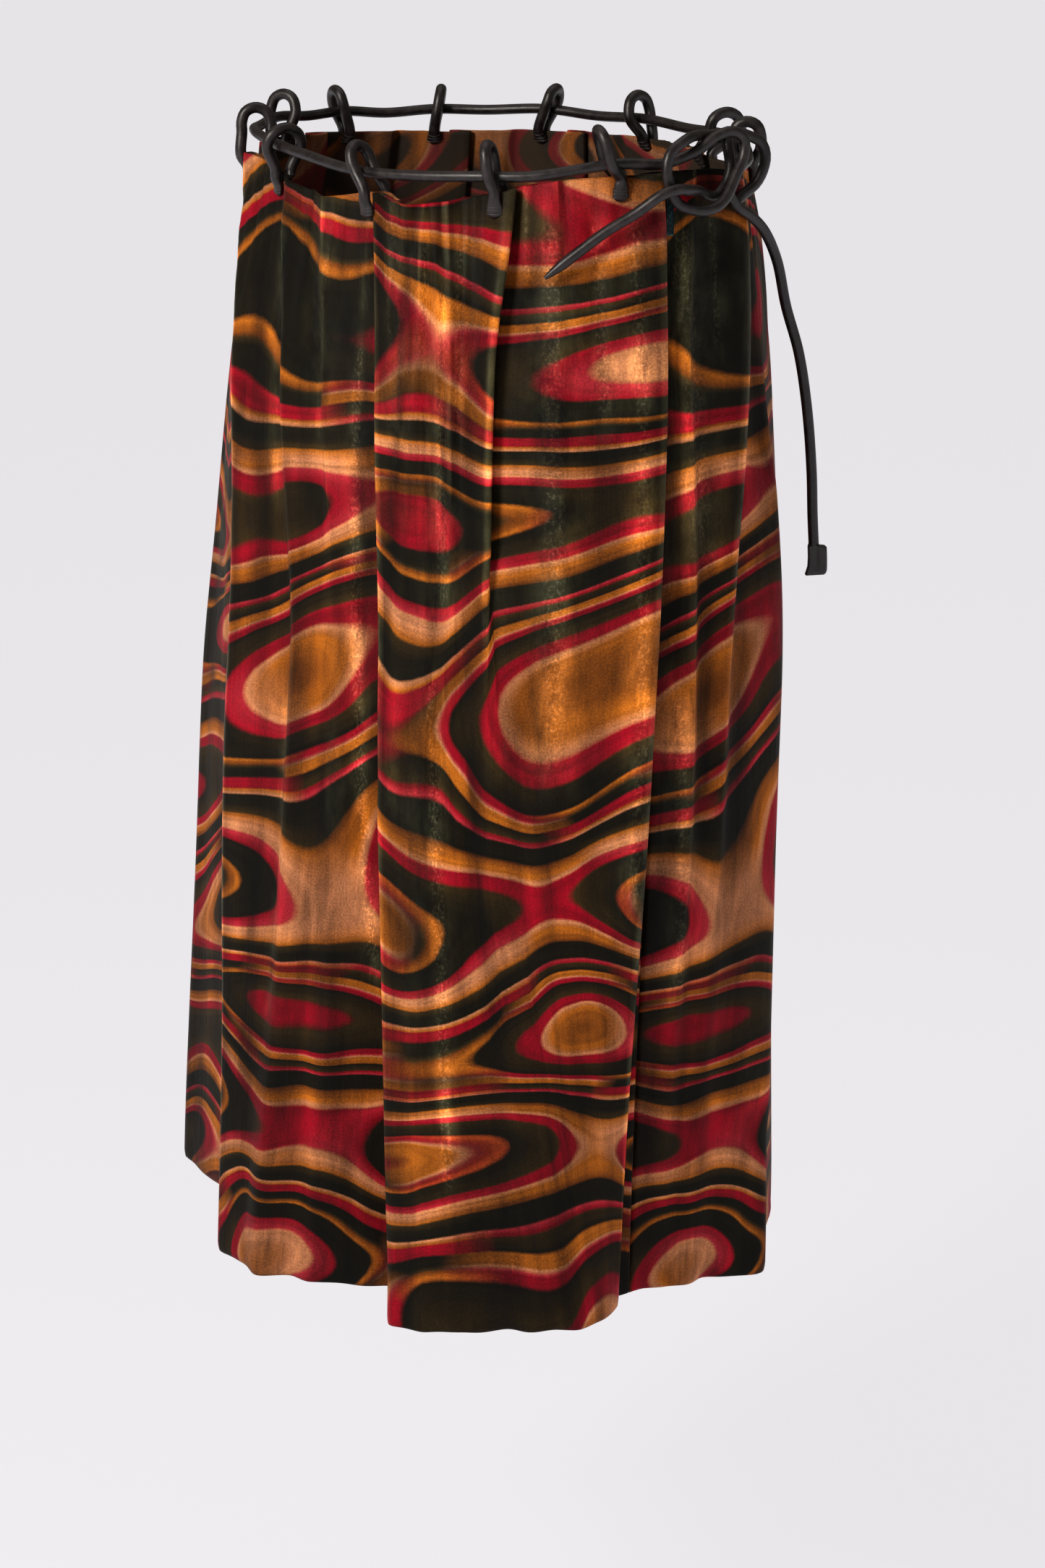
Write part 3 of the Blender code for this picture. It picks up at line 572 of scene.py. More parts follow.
def nose_strength(points):
    """How sharply each point of a row turns outward, from 0 for soft folds to 1 for a folded edge."""
    steps = np.diff(points, axis=0)
    lengths = np.maximum(norm(steps, axis=1), LEAST_STEP)
    ways = steps / lengths[:, None]
    turn = ways[:-1, 0] * ways[1:, 1] - ways[:-1, 1] * ways[1:, 0]
    bend = np.concatenate(([0.0], turn / ((lengths[1:] + lengths[:-1]) / 2), [0.0]))
    spread = np.convolve(bend, NOSE_SPREAD, mode="same")
    return np.clip((spread - NOSE_LEAST) / NOSE_RANGE, 0.0, 1.0)


def add_panel(panel, rows, materials):
    """A velvet shell over a panel's solid, with its cut's own coordinates for print and pile."""
    columns = column_fractions(rows, panel)
    placed = [(t, *points_at(curve, columns)) for t, curve in rows]
    across = panel.print_shift + np.mean([along - along[-1] / 2 for _, _, along in placed], axis=0)
    verts, cut = [], []
    values = {"crush_and_highlight": [], "painted_shade": [], "nose": []}
    for t, points, along in placed:
        points = inset_ends(points, SEAM_GAP / 2)
        bearing = bearing_of(points)
        ripple, rise = hem_ripple(bearing, t)
        calm = seam_calm(along)
        out = crease_reach(bearing, t) * calm * foot_calm(bearing, t) + ripple * calm
        moved = points + oval_normals(t, bearing) * out[:, None]
        z = -LENGTH * t + edge_rise(bearing, t) + rise
        verts += [(x, y, h) for (x, y), h in zip(moved, z)]
        cut += [(place, LENGTH * t) for place in across]
        # Crushed pile on streaks and raised creases is glossy with painted highlights; hollows and sunk
        # creases get painted shade; folded edges get painted highlights.
        raised = out / CREASE_FULL
        crest = np.clip(raised * CREST_CRUSH - CREST_FROM, 0.0, CREST_MOST)
        sunk_shade = np.clip(-raised, 0.0, PAINTED_SHADE_MOST)
        values["crush_and_highlight"] += list(np.maximum(streak_strength(STREAKS, bearing, t), crest))
        values["painted_shade"] += list(np.maximum(streak_strength(PAINTED_SHADES, bearing, t), sunk_shade))
        values["nose"] += list(nose_strength(moved))
    width = len(columns)
    faces = [(r * width + c, (r + 1) * width + c, (r + 1) * width + c + 1, r * width + c + 1)
             for r in range(len(rows) - 1) for c in range(width - 1)]
    mesh = bpy.data.meshes.new(panel.name)
    mesh.from_pydata(verts, [], faces)
    layer = mesh.uv_layers.new(name="cut")
    corner_verts = np.zeros(len(mesh.loops), np.int32)
    mesh.loops.foreach_get("vertex_index", corner_verts)
    layer.data.foreach_set("uv", np.array(cut, np.float32)[corner_verts].ravel())
    for label, numbers in values.items():
        attribute = mesh.attributes.new(label, "FLOAT", "POINT")
        attribute.data.foreach_set("value", np.array(numbers, np.float32))
    for material in materials:
        mesh.materials.append(material)
    mesh.shade_smooth()
    obj = placed_object(panel.name, mesh)
    thick = obj.modifiers.new("thickness", "SOLIDIFY")
    thick.thickness = CLOTH
    thick.offset = 0.0
    thick.material_offset = 1
    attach(obj, "skirt")
    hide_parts(panel.node)


def oval_normals(t, bearing):
    """Ways out from the base oval at points' bearings."""
    half_x, half_y, _ = oval_sizes(t)
    angle = np.radians(bearing)
    ways = np.column_stack((np.sin(angle) / half_x, -np.cos(angle) / half_y))
    return ways / norm(ways, axis=1)[:, None]


def inset_ends(points, gap):
    """A row's end points, drawn back from the seams."""
    points = points.copy()
    for end, inner in ((0, 1), (-1, -2)):
        way = points[inner] - points[end]
        points[end] += way / norm(way) * gap
    return points


def seam_calm(along):
    """Creases die out near the seams."""
    return np.clip(np.minimum(along, along[-1] - along) / SEAM_CALM, 0.0, 1.0)


def foot_calm(bearing, t):
    """Creases die out under the loops' feet."""
    if LENGTH * t > FOOT_CALM:
        return 1.0
    near = [bell(around(bearing, loop.bearing), FOOT_CALM_HALF) for loop in LOOPS]
    return 1 - np.max(near, axis=0) * (1 - LENGTH * t / FOOT_CALM)


# Cords and loops

def waist_point(bearing, out, rise, shift=0.0):
    """A point by the waist oval: out from it, above its level and shifted along it, in millimetres."""
    x, y = oval(0.0, bearing, out / 1000)
    ahead, behind = (oval(0.0, bearing + step, out / 1000) for step in (WAY_STEP, -WAY_STEP))
    way = Vector((*(ahead - behind), 0.0)).normalized()
    return Vector((x, y, rise / 1000)) + way * shift / 1000


def smooth_path(points, spacing):
    """Points a spacing apart on the smooth curve through a route's points."""
    points = [np.array(p) for p in points]
    ends = [points[0] * 2 - points[1]] + points + [points[-1] * 2 - points[-2]]
    spans = [smooth_span(ends[k:k + 4], PATH_POINTS) for k in range(len(points) - 1)]
    fine = np.vstack(spans + [points[-1]])
    marks = np.concatenate(([0.0], np.cumsum(norm(np.diff(fine, axis=0), axis=1))))
    count = max(3, round(marks[-1] / spacing))
    places = np.linspace(0.0, marks[-1], count + 1)
    return np.column_stack([np.interp(places, marks, fine[:, k]) for k in range(3)]), marks[-1]


def add_cord(name, route, diameter, leather, radii=None):
    """A round leather cord on its route."""
    path, length = smooth_path([waist_point(*way) for way in route], CORD_STEP)
    curve = bpy.data.curves.new(name, "CURVE")
    curve.dimensions = "3D"
    curve.bevel_depth = diameter / 2
    curve.bevel_resolution = CORD_FINENESS
    curve.use_fill_caps = True
    spline = curve.splines.new("POLY")
    spline.points.add(len(path) - 1)
    for k, (point, p) in enumerate(zip(spline.points, path)):
        point.co = (*p, 1.0)
        if radii:
            point.radius = radii(k / (len(path) - 1) * length, length)
    spline.use_smooth = True
    curve.materials.append(leather)
    obj = placed_object(name, curve)
    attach(obj, "skirt")
    return obj, path, length


def pointed(along, length):
    """Radius of the short tail: cut to a point over its last stretch."""
    left = (length - along) / POINT_LONG
    return min(1.0, POINT_LEAST + (1 - POINT_LEAST) * left ** POINT_CURVE)


def add_cords(leather):
    """The belt that is tied in a bow, in the four stretches of the frame's cord."""
    tip = add_tip(leather)
    rows = (
        ("belt_cord", "belt", BELT_ROUTE + BELT_ON, "object", "taut", None, []),
        ("bow_cord", "bow", BOW_BEFORE + BOW_ROUTE + BOW_ON, "object", "loose", None, []),
        ("short_tail_cord", "tail_short", SHORT_BEFORE + SHORT_TAIL_ROUTE, "bare", "loose", pointed, []),
        ("long_tail_cord", "tail_long", LONG_BEFORE + LONG_TAIL_ROUTE, "fitting", "hanging", None, [tip]),
    )
    for name, node, route, far_end, lay, radii, pieces in rows:
        obj, path, length = add_cord(name, route, BELT, leather, radii)
        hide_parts(node)


def add_tip(leather):
    """The folded leather tip: the cord's flattened end beside a squared flap, pinched at the foot."""
    path, _ = smooth_path([waist_point(*way) for way in LONG_TAIL_ROUTE], CORD_STEP)
    end, before = Vector(path[-1]), Vector(path[-2])
    down = (end - before).normalized()
    low, high = (Vector(corner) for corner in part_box("tail_tip"))
    height = high.z - low.z
    edge = Vector((1.0, 1.0, 0.0)).normalized()
    side = (edge - down * edge.dot(down)).normalized()
    face = side.cross(down)
    verts = []
    for level, (left, right, notch, deep) in TIP_LEVELS:
        for s in range(TIP_SIDES):
            a = 2 * pi * s / TIP_SIDES
            square = max(abs(cos(a)), abs(sin(a))) ** TIP_SQUARE
            x = cos(a) * square * (left if cos(a) < 0 else right)
            dent = 1 - notch * np.exp(-((x - DENT_AT) / DENT_WIDE) ** 2)
            y = sin(a) * square * deep * dent
            verts.append(end + down * (level * height) + (side * x + face * y) / 1000)
    obj = mesh_object("leather_tip", verts, tube_faces(len(TIP_LEVELS), TIP_SIDES), leather)
    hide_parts("tail_tip")
    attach(obj, "skirt")
    return obj


def tube_faces(rings, sides):
    """The faces of a capped tube of rings."""
    faces = []
    for k in range(rings - 1):
        for s in range(sides):
            a, b = k * sides + s, k * sides + (s + 1) % sides
            faces.append((a, b, b + sides, a + sides))
    return faces + [tuple(range(sides))[::-1], tuple(range((rings - 1) * sides, rings * sides))]


def mesh_object(name, verts, faces, material):
    mesh = bpy.data.meshes.new(name)
    mesh.from_pydata([tuple(v) for v in verts], [], faces)
    bm = bmesh.new()
    bm.from_mesh(mesh)
    bmesh.ops.recalc_face_normals(bm, faces=bm.faces[:])
    bm.to_mesh(mesh)
    bm.free()
    mesh.materials.append(material)
    mesh.shade_smooth()
    return placed_object(name, mesh)


def cloth_reach(curve, bearing, side):
    """How far out from the waist oval a loop's middle lies where it touches the cloth on one side."""
    clear = CLOTH / 2 + SEAT_GAP + LOOP / 2
    base = oval(0.0, bearing, 0.0)
    way = oval(0.0, bearing, WAY_REACH / 1000) - base
    way /= norm(way)
    off = curve - base
    outs, across = off @ way, off @ np.array((-way[1], way[0]))
    near = (np.abs(across) < clear) & (outs > -LOOP_NEAR)
    return side * np.max(side * outs[near] + np.sqrt(clear ** 2 - across[near] ** 2)) * 1000


def belt_at(bearing):
    """How far out the belt lies, and how high, where a loop holds it."""
    stops, outs, rises = zip(*(way for way in BELT_ROUTE if way[0] <= BELT_LAST))
    bearing += 360 if bearing < stops[0] and bearing + 360 < BELT_LAST else 0
    return between(outs, stops, bearing), between(rises, stops, bearing)


def loop_path(loop, rows):
    """The middle line of a loop, from its outer foot over the belt to its inner foot."""
    edge = float(edge_rise(bearing_of(oval(0.0, loop.bearing, 0.0)), 0.0)) * 1000
    top = edge + LOOP_RISE
    belt_out, level = belt_at(loop.bearing)
    lower = min(edge + OVER_EDGE, level - UNDER_BELT)
    beside = (BELT / 2 + 2 * GAP + LOOP / 2) * 1000
    low_row = min(rows, key=lambda row: abs(row[0] - FOOT_ROW))

    def at(out, rise, shift=0.0):
        return waist_point(loop.bearing, out, rise, shift)

    legs, reaches = [], []
    for side, foot, slack, spread in ((1, LOOP_FOOT, LOOP_SLACK, 0.0), (-1, LOOP_INSIDE, 0.0, loop.spread)):
        high, low = (cloth_reach(row[1], loop.bearing, side) for row in (rows[0], low_row))
        down = foot / (LENGTH * low_row[0] * 1000)
        points = [at(high + (low - high) * down * u, edge - foot * u) for u in FOOT_MARKS]
        points.append(at(high, lower))
        tilt = (beside + slack - side * (high - belt_out)) / (level - lower)
        reach = belt_out + side * ((beside + slack) * np.hypot(1.0, tilt) + spread)
        points.append(at(reach, level, loop.lean * LEG_LEAN))
        legs.append(points)
        reaches.append(reach)
    middle, half = sum(reaches) / 2, (reaches[0] - reaches[1]) / 2
    for side, points in ((1, legs[0]), (-1, legs[1])):
        if top - half > level + LEAST_LEG:
            points.append(at(middle + side * half, top - half, loop.lean * ARCH_START_LEAN))
        points.append(at(middle + side * half * ARCH_SIDE, top - half * ARCH_DOWN, loop.lean * ARCH_LEAN))
    crown = at(middle, top, loop.lean)
    return smooth_path(legs[0] + [crown] + legs[1][::-1], LOOP_STEP)


def sweep(path, side, wide, deep, sides):
    """Corners and faces of a tube round a path, as wide and deep at each point as the lists say."""
    verts = []
    for k, point in enumerate(path):
        _, across, up = frame_at(path, k, side)
        for s in range(sides):
            a = 2 * pi * s / sides
            verts.append(Vector(point) + across * cos(a) * wide[k] / 2 + up * sin(a) * deep[k] / 2)
    return verts, tube_faces(len(path), sides)


def frame_at(path, k, side):
    """The ways along a path, across it toward a side, and up from both."""
    along = Vector(path[min(k + 1, len(path) - 1)] - path[max(k - 1, 0)]).normalized()
    across = (side - along * side.dot(along)).normalized()
    return along, across, along.cross(across)


def add_loops(rows, leather, thread):
    """The leather loops, their two ends pressed flat on the cloth and sewn down with bars of thread."""
    stitches = ([], [])
    for number, loop in enumerate(LOOPS, 1):
        path, length = loop_path(loop, rows)
        ahead, behind = (waist_point(loop.bearing + step, 0, 0) for step in (WAY_STEP, -WAY_STEP))
        side = (ahead - behind).normalized()
        radial = (waist_point(loop.bearing, WAY_REACH, 0) - waist_point(loop.bearing, 0, 0)).normalized()
        wide, deep, moved = [], [], []
        for place, point in zip(np.linspace(0.0, length, len(path)), path):
            out_foot, in_foot = pressed(place, OUT_PRESS), pressed(length - place, IN_PRESS)
            flat = max(out_foot, in_foot)
            end = min(1.0, FOOT_END + min(place, length - place) / FOOT_ROUND)
            wide.append(LOOP * (1 + PRESS_WIDE * flat) * end)
            deep.append(LOOP * (1 - PRESS_THIN * flat) * end)
            sink = (LOOP - deep[-1]) / 2 + flat * (SEAT_GAP + FOOT_BED)
            moved.append(np.array(point) + np.array(radial) * sink * (in_foot - out_foot))
        obj = mesh_object("loop_%02d" % number, *sweep(moved, side, wide, deep, LOOP_SIDES), leather)
        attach(obj, "skirt")
        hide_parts("belt_loop_%02d" % number)
        last = len(path) - 1
        for ends, outward in ((range(1, BARS + 1), radial), (range(last - BARS, last), -radial)):
            for k in ends:
                add_bar(stitches, moved, k, side, wide[k], deep[k], outward)
    obj = mesh_object("loop_stitches", *stitches, thread)
    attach(obj, "skirt")


def pressed(place, reach):
    """How flat a loop is pressed at a distance from its end, from 0 to 1."""
    return smooth(clamp(PRESS_SLOPE * (1 - place / reach)))


def add_bar(stitches, path, k, side, wide, deep, outward):
    """One bar of thread over a loop's foot, bedded in its leather."""
    along, across, up = frame_at(path, k, side)
    up = up if up.dot(outward) > 0 else -up
    over = [np.array(Vector(path[k]) + across * cos(a) * wide * BAR_WIDE + up * sin(a) * deep * BAR_DEEP)
            for a in np.linspace(BAR_FROM, BAR_TO, BAR_POINTS)]
    verts, faces = sweep(over, along, [THREAD] * BAR_POINTS, [THREAD] * BAR_POINTS, THREAD_SIDES)
    base = len(stitches[0])
    stitches[0].extend(verts)
    stitches[1].extend(tuple(v + base for v in face) for face in faces)


# Materials

def node_tree(name):
    material = bpy.data.materials.new(name)
    material.use_nodes = True
    tree = material.node_tree
    return material, tree, tree.nodes["Principled BSDF"]


def set_inputs(tree, node, values):
    """A node's inputs, set to values or linked from sockets."""
    for key, value in values.items():
        if isinstance(value, bpy.types.NodeSocket):
            tree.links.new(value, node.inputs[key])
        else:
            node.inputs[key].default_value = value


def add_node(tree, kind, values=None, **settings):
    node = tree.nodes.new("ShaderNode" + kind)
    for key, value in settings.items():
        setattr(node, key, value)
    set_inputs(tree, node, values or {})
    return node


def maths(tree, operation, a, b=0.0, c=0.0):
    return add_node(tree, "Math", {0: a, 1: b, 2: c}, operation=operation).outputs[0]


def times(tree, a, b):
    return maths(tree, "MULTIPLY", a, b)


def times_add(tree, a, b, c):
    return maths(tree, "MULTIPLY_ADD", a, b, c)


def vectors(tree, operation, values):
    return add_node(tree, "VectorMath", values, operation=operation).outputs[0]


def swayed(tree, base, strength, reach):
    """A value moved by how far a noise stands from its middle."""
    return times_add(tree, maths(tree, "ADD", strength, -0.5), reach, base)


def noise_at(tree, place, scale, detail, roughness=0.5):
    values = {"Vector": place, "Scale": scale, "Detail": detail, "Roughness": roughness}
    return add_node(tree, "TexNoise", values).outputs["Fac"]


def mix(tree, share, a, b, blend="MIX"):
    node = add_node(tree, "Mix", {"Factor": share, 6: a, 7: b}, data_type="RGBA", blend_type=blend)
    return node.outputs[2]


def ramp(tree, factor, stops):
    """A colour ramp from places and colours."""
    node = add_node(tree, "ValToRGB", {"Fac": factor})
    elements = node.color_ramp.elements
    while len(elements) > 1:
        elements.remove(elements[-1])
    elements[0].position, elements[0].color = stops[0][0], (*stops[0][1], 1.0)
    for place, colour in stops[1:]:
        elements.new(place).color = (*colour, 1.0)
    return node.outputs["Color"]


def tones(tree, factor, *stops):
    """A ramp of greys from places and tones."""
    return ramp(tree, factor, [(place, (tone,) * 3) for place, tone in stops])


def bumped(tree, height, strength, distance):
    node = add_node(tree, "Bump", {"Height": height, "Strength": strength, "Distance": distance})
    return node.outputs["Normal"]


def object_place(tree):
    return add_node(tree, "TexCoord").outputs["Object"]


def shade(red, green, blue):
    """A linear colour from one as the eye sees it, 0 to 255."""
    return tuple(((v / 255 + 0.055) / 1.055) ** 2.4 if v > 10 else v / 255 / 12.92
                 for v in (red, green, blue))


OLIVE = shade(22, 17, 5)
MOSS = shade(56, 41, 15)
CRIMSON = shade(143, 2, 30)
ROSE = shade(170, 44, 56)
OCHRE = shade(170, 98, 25)
UMBER = shade(112, 60, 12)
BLUSH = shade(197, 132, 92)
LINING = shade(64, 50, 40)

# The print: wandering rows of nested rounded shapes with waved bands between the rows. Each band
# shades from one colour to the next, in either of two palettes, and the bands start again and again.
PRINT_WIDE, PRINT_HIGH = 0.262, 0.186
PRINT_SWAY = 0.34
PRINT_DRIFTS = ((2.6, 0.15), (8.0, 0.035))
PRINT_ROUNDS = 0.5625
PRINT_UNEVEN, UNEVEN_SCALE = 2.2, 5.5
PRINT_EDGE, EDGE_SCALE = 0.016, 300.0
PALETTE_SCALE, PALETTE_TONES = 6.5, ((0.46, 0.0), (0.54, 1.0))
STROKES = (24.0, 13.0, 13.0)
STROKE_TINTS = ((0.3, (0.72, 0.7, 0.66)), (0.5, (1.0, 1.0, 1.0)), (0.7, (1.22, 1.2, 1.14)))
BLEED = 0.01
BROAD = 2
Band = namedtuple("Band", "start end other_start other_end share")
BANDS = [Band(*row) for row in (
    (OLIVE, OLIVE, OLIVE, MOSS, 5.2),
    (UMBER, OCHRE, OCHRE, BLUSH, 5.4),
    (OCHRE, BLUSH, BLUSH, BLUSH, 3.0),
    (CRIMSON, CRIMSON, ROSE, CRIMSON, 4.8),
    (MOSS, OLIVE, OLIVE, OLIVE, 9.0),
    (CRIMSON, CRIMSON, OCHRE, UMBER, 2.8),
    (ROSE, BLUSH, MOSS, OLIVE, 1.6),
    (OCHRE, OCHRE, OLIVE, OLIVE, 4.4),
    (OLIVE, MOSS, CRIMSON, CRIMSON, 5.8),
    (CRIMSON, ROSE, OCHRE, BLUSH, 3.0),
    (OLIVE, OLIVE, OLIVE, OLIVE, 5.2),
)]

# Grains of the pile: how far each is drawn out down the cut, how fine, detailed and rough it is
Grain = namedtuple("Grain", "drawn scale detail roughness")
NAP = Grain(0.1, 330.0, 5.0, 0.6)
BRUSH = Grain(0.1, 42.0, 4.0, 0.5)
PATCH = Grain(0.45, 24.0, 7.0, 0.62)
SMUDGE = Grain(0.3, 85.0, 8.0, 0.68)
SPOT = Grain(0.55, 46.0, 3.0, 0.5)
SPECK = Grain(0.6, 620.0, 4.0, 0.7)
TUFT_SCALE = 900.0

# How much each grain turns the pile's lie, how much a hollow's painted shade darkens it, and how light the
# pile is for its lie
BRUSH_LIE, PATCH_LIE, NAP_LIE, TUFT_LIE, PAINTED_SHADE_LIE = 0.6, 0.4, 0.15, 0.26, -0.13
PILE_TONES = ((0.3, 0.25), (0.38, 0.45), (0.5, 0.9), (0.62, 1.5))

# Where crushed pile gets painted shine and painted glints (pale flecks), from none to all, and the least on
# an edge
SPOT_TONES, SMUDGE_TONES = ((0.36, 0.0), (0.62, 1.0)), ((0.34, 0.0), (0.62, 1.0))
SPECK_TONES, CRUSH_TONES = ((0.5, 0.0), (0.64, 1.0)), ((0.62, 0.0), (0.95, 1.0))
LEAST = 0.15
GLINT_GAIN = 1.6

# What gloss and nap do to the roughness, patches and crushing to the height, and painted highlights
# and painted glints (pale flecks) to the colour
ROUGH, GLOSS_ROUGH, NAP_ROUGH = 0.6, -0.26, 0.1
PATCH_HEIGHT, CRUSH_HEIGHT = 1.6, 1.2
SHINE = {1: (3.4, 3.2, 2.6), 2: (0.056, 0.062, 0.034)}
FLASH = {1: (4.0, 3.6, 3.0), 2: (0.13, 0.126, 0.08)}


def drifted(tree, place, scale, reach):
    """A place of the cut, moved by a slow noise."""
    drift = add_node(tree, "TexNoise", {"Vector": place, "Scale": scale, "Detail": 1.5, "Roughness": 0.4})
    middle = vectors(tree, "ADD", {0: drift.outputs["Color"], 1: (-0.5, -0.5, -0.5)})
    return vectors(tree, "ADD", {0: place, 1: vectors(tree, "SCALE", {0: middle, "Scale": reach * 2})})


def palettes():
    """The places and colours of both palettes' bands."""
    whole = sum(band.share for band in BANDS)
    first, second, place = [], [], 0.0
    for band in BANDS:
        soft = BLEED if band.share > BROAD else BLEED / 2
        start, place = place + soft, place + band.share / whole
        first += [(start, band.start), (place - soft, band.end)]
        second += [(start, band.other_start), (place - soft, band.other_end)]
    return first, second


def print_colour(tree, cut):
    """The print's colour at a place of the cut."""
    place = cut
    for scale, reach in PRINT_DRIFTS:
        place = drifted(tree, place, scale, reach)
    parts = add_node(tree, "SeparateXYZ", {0: place}).outputs
    across, down = (maths(tree, "COSINE", times(tree, parts[axis], 2 * pi / size))
                    for axis, size in (("X", PRINT_WIDE), ("Y", PRINT_HIGH)))
    field = times_add(tree, across, PRINT_SWAY, down)
    field = swayed(tree, field, noise_at(tree, cut, UNEVEN_SCALE, detail=1.0), PRINT_UNEVEN)
    field = times_add(tree, noise_at(tree, cut, EDGE_SCALE, detail=2.0), PRINT_EDGE, field)
    rounds = times(tree, field, PRINT_ROUNDS)
    lines = [times(tree, part, scale)
             for part, scale in zip((rounds, parts["X"], parts["Y"]), STROKES)]
    brushed = add_node(tree, "CombineXYZ", dict(enumerate(lines))).outputs[0]
    stroke = ramp(tree, noise_at(tree, brushed, scale=1.0, detail=3.0), STROKE_TINTS)
    turned = tones(tree, noise_at(tree, cut, PALETTE_SCALE, detail=1.0), *PALETTE_TONES)
    level = maths(tree, "FRACT", rounds)
    colour = mix(tree, turned, *(ramp(tree, level, palette) for palette in palettes()))
    return mix(tree, 1.0, colour, stroke, "MULTIPLY")


def grain_at(tree, cut, grain):
    """A grain's strength, drawn out along the pile."""
    drawn = add_node(tree, "Mapping", {"Vector": cut, "Scale": (1.0, grain.drawn, 1.0)}).outputs[0]
    return noise_at(tree, drawn, *grain[1:])


def velvet_material(name, inside=False):
    """Printed velvet: pile in brushed streaks and patches, glossy where crushed, with painted highlights
    and glints there and on folded edges, and painted shade in hollows.
    """
    material, tree, shader = node_tree(name)
    cut = add_node(tree, "UVMap", uv_map="cut").outputs["UV"]
    crush_and_highlight, painted_shade, nose = (add_node(tree, "Attribute", attribute_name=label).outputs["Fac"]
                           for label in ("crush_and_highlight", "painted_shade", "nose"))
    nap, brush, patch, smudge, spot, speck = (grain_at(tree, cut, grain)
                                              for grain in (NAP, BRUSH, PATCH, SMUDGE, SPOT, SPECK))
    tuft = noise_at(tree, cut, TUFT_SCALE, detail=2.0)
    lie = maths(tree, "ADD", times(tree, brush, BRUSH_LIE), times(tree, patch, PATCH_LIE))
    lie = swayed(tree, swayed(tree, lie, nap, NAP_LIE), tuft, TUFT_LIE)
    # Painted shade: the pile is darkened in the hollows beside folds and in sunk creases.
    lie = times_add(tree, painted_shade, PAINTED_SHADE_LIE, lie)
    toned = mix(tree, 1.0, print_colour(tree, cut), tones(tree, lie, *PILE_TONES), "MULTIPLY")
    if inside:
        set_inputs(tree, shader, {"Base Color": mix(tree, 0.5, toned, (*LINING, 1.0)), "Roughness": 0.9})
        return material
    # Painted highlights: crushed pile is brightened far past the print's colour, besides its lower
    # roughness.
    streaks = tones(tree, smudge, *SMUDGE_TONES)
    shine = times(tree, tones(tree, spot, *SPOT_TONES), streaks)
    # Painted highlight along folded edges, where the nose attribute is strong.
    edge_highlight = times(tree, nose, times_add(tree, streaks, 1 - LEAST, LEAST))
    gloss_and_highlight = maths(tree, "MAXIMUM", times(tree, shine, crush_and_highlight), edge_highlight)
    lit = mix(tree, gloss_and_highlight, toned, vectors(tree, "MULTIPLY_ADD", {0: toned, **SHINE}))
    # Painted glints: pale flecks over crushed pile, brightened far past the print's colour.
    fleck = times_add(tree, shine, 1 - LEAST, LEAST)
    glint_flecks = times(tree, tones(tree, speck, *SPECK_TONES), fleck)
    glint_flecks = times(tree, glint_flecks, tones(tree, crush_and_highlight, *CRUSH_TONES))
    glint_flecks = maths(tree, "MINIMUM", times(tree, glint_flecks, GLINT_GAIN), 1.0)
    rough = times_add(tree, gloss_and_highlight, GLOSS_ROUGH, ROUGH)
    rough = times_add(tree, nap, NAP_ROUGH, rough)
    height = times_add(tree, patch, PATCH_HEIGHT, nap)
    height = times_add(tree, times(tree, smudge, crush_and_highlight), CRUSH_HEIGHT, height)
    set_inputs(tree, shader, {
        "Base Color": mix(tree, glint_flecks, lit, vectors(tree, "MULTIPLY_ADD", {0: toned, **FLASH})),
        "Roughness": rough, "Normal": bumped(tree, height, strength=0.5, distance=0.0009),
        "Specular IOR Level": 0.2, "Sheen Weight": 0.06, "Sheen Roughness": 0.3,
        "Sheen Tint": (1.0, 0.85, 0.62, 1.0)})
    return material


def leather_material():
    """Black-brown rolled leather with a fine grain and a satin shine."""
    material, tree, shader = node_tree("cord_leather")
    place = object_place(tree)
    grain = add_node(tree, "TexVoronoi", {"Vector": place, "Scale": 1500.0}).outputs["Distance"]
    wrinkle = noise_at(tree, place, scale=190.0, detail=5.0)
    height = times_add(tree, grain, 0.4, wrinkle)
    set_inputs(tree, shader, {
        "Base Color": ramp(tree, wrinkle, ((0.35, shade(26, 21, 22)), (0.7, shade(50, 42, 43)))),
        "Roughness": times_add(tree, wrinkle, 0.22, 0.3),
        "Normal": bumped(tree, height, strength=0.22, distance=0.0004), "Specular IOR Level": 0.6})
    return material


def thread_material():
    """Waxed black sewing thread, twisted."""
    material, tree, shader = node_tree("sewing_thread")
    values = {"Vector": object_place(tree), "Scale": 900.0, "Distortion": 1.0}
    twist = add_node(tree, "TexWave", values).outputs["Fac"]
    set_inputs(tree, shader, {
        "Base Color": ramp(tree, twist, ((0.2, shade(30, 27, 27)), (0.8, shade(88, 82, 80)))),
        "Roughness": 0.4})
    return material


def metal_material():
    """Dark slate enamel on the zip's slider and pull, worn in specks."""
    material, tree, shader = node_tree("zip_enamel")
    wear = noise_at(tree, object_place(tree), scale=700.0, detail=4.0)
    colours = (0.35, shade(26, 40, 44)), (0.6, shade(44, 66, 70)), (0.72, shade(96, 116, 118))
    set_inputs(tree, shader, {"Base Color": ramp(tree, wear, colours), "Metallic": 0.6, "Roughness": 0.42})
    return material


def floor_material():
    """Plain matt paint."""
    material, tree, shader = node_tree("floor_paint")
    set_inputs(tree, shader, {
        "Base Color": (*shade(120, 119, 122), 1.0), "Roughness": 0.9, "Specular IOR Level": 0.1,
        "Emission Color": (*shade(232, 230, 234), 1.0), "Emission Strength": 0.79})
    return material


# Stage, light and camera

RIGHTWARD = Vector((cos(AZIMUTH), sin(AZIMUTH), 0.0))
INWARD = Vector((-sin(AZIMUTH), cos(AZIMUTH), 0.0))
UPWARD = Vector((0.0, 0.0, 1.0))
FLOOR_AT = -1.0
FLOOR_HALF = 25.0

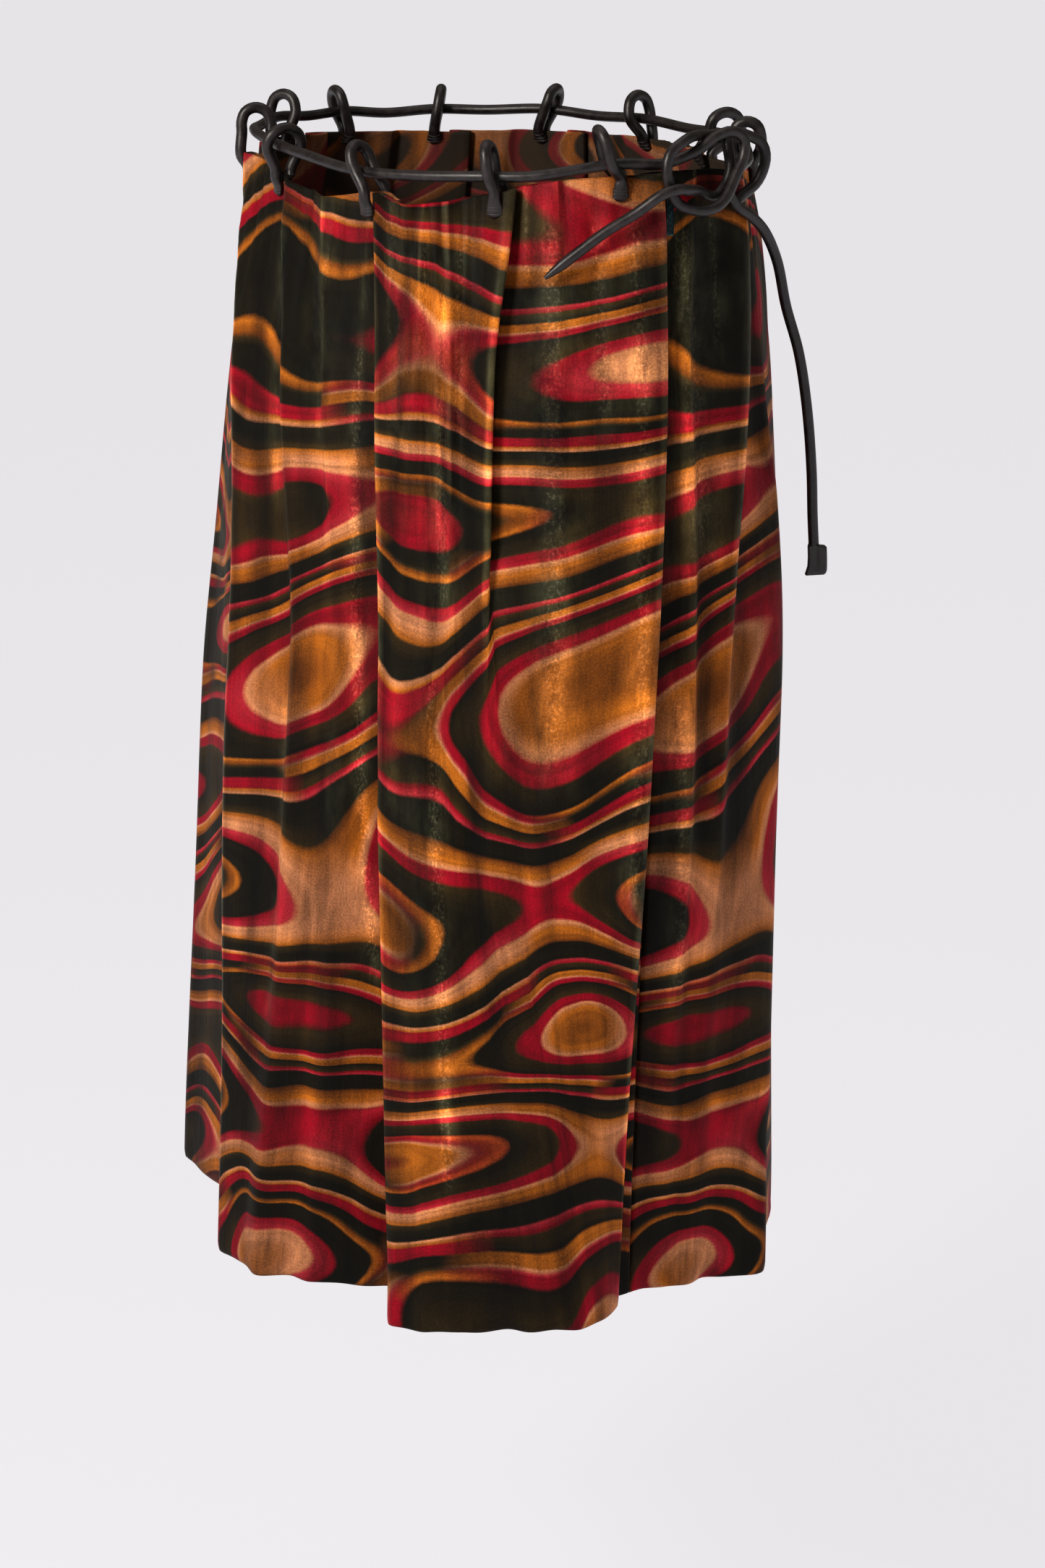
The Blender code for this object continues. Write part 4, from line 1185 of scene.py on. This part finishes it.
# Lights: their place, how far up the skirt each aims, their size, power and colour
Light = namedtuple("Light", "name right inward up aim size watts colour")
LIGHTS = (
    Light("key", -1.45, -1.6, 1.05, -0.18, (0.6, 0.9), 40, (1.0, 0.96, 0.89)),
    Light("fill", 1.9, -1.2, 0.3, -0.28, (1.2, 1.6), 2, (0.93, 0.95, 1.0)),
    Light("top", 0.0, 0.2, 1.7, -0.28, (1.6, 1.6), 5, (1.0, 1.0, 1.0)),
)
WORLD = shade(236, 228, 214)


def add_camera():
    forward = INWARD * cos(PITCH) - UPWARD * sin(PITCH)
    camera = bpy.data.cameras.new("camera")
    camera.sensor_fit = "VERTICAL"
    camera.sensor_height = SENSOR
    camera.lens = SENSOR * FOCAL_PIXELS / FRAME_HIGH
    camera.clip_start = 0.05
    obj = placed_object("camera", camera)
    place = -INWARD * CAMERA_FAR + UPWARD * CAMERA_HIGH + RIGHTWARD * CAMERA_ASIDE
    turn = Matrix((RIGHTWARD, RIGHTWARD.cross(forward), -forward)).transposed().to_4x4()
    obj.matrix_world = Matrix.Translation(place) @ turn
    bpy.context.scene.camera = obj


def add_stage():
    """A wide pale floor, which fills the view behind the skirt."""
    mesh = bpy.data.meshes.new("floor")
    corners = [(x * FLOOR_HALF, y * FLOOR_HALF, FLOOR_AT) for x, y in ((-1, -1), (1, -1), (1, 1), (-1, 1))]
    mesh.from_pydata(corners, [], [(0, 1, 2, 3)])
    mesh.materials.append(floor_material())
    placed_object("floor", mesh)


def add_lights():
    for row in LIGHTS:
        light = bpy.data.lights.new(row.name, "AREA")
        light.shape = "RECTANGLE"
        light.size, light.size_y = row.size
        light.energy = row.watts
        light.color = row.colour
        place = RIGHTWARD * row.right + INWARD * row.inward + UPWARD * row.up
        turn = (UPWARD * row.aim - place).to_track_quat("-Z", "Y").to_matrix().to_4x4()
        placed_object(row.name, light).matrix_world = Matrix.Translation(place) @ turn
    scene = bpy.context.scene
    scene.world = bpy.data.worlds.new("studio")
    scene.world.use_nodes = True
    background = scene.world.node_tree.nodes["Background"].inputs
    background["Color"].default_value = (*WORLD, 1.0)
    background["Strength"].default_value = 0.2
    scene.view_settings.view_transform = "Standard"
    scene.view_settings.look = "Medium High Contrast"


main()
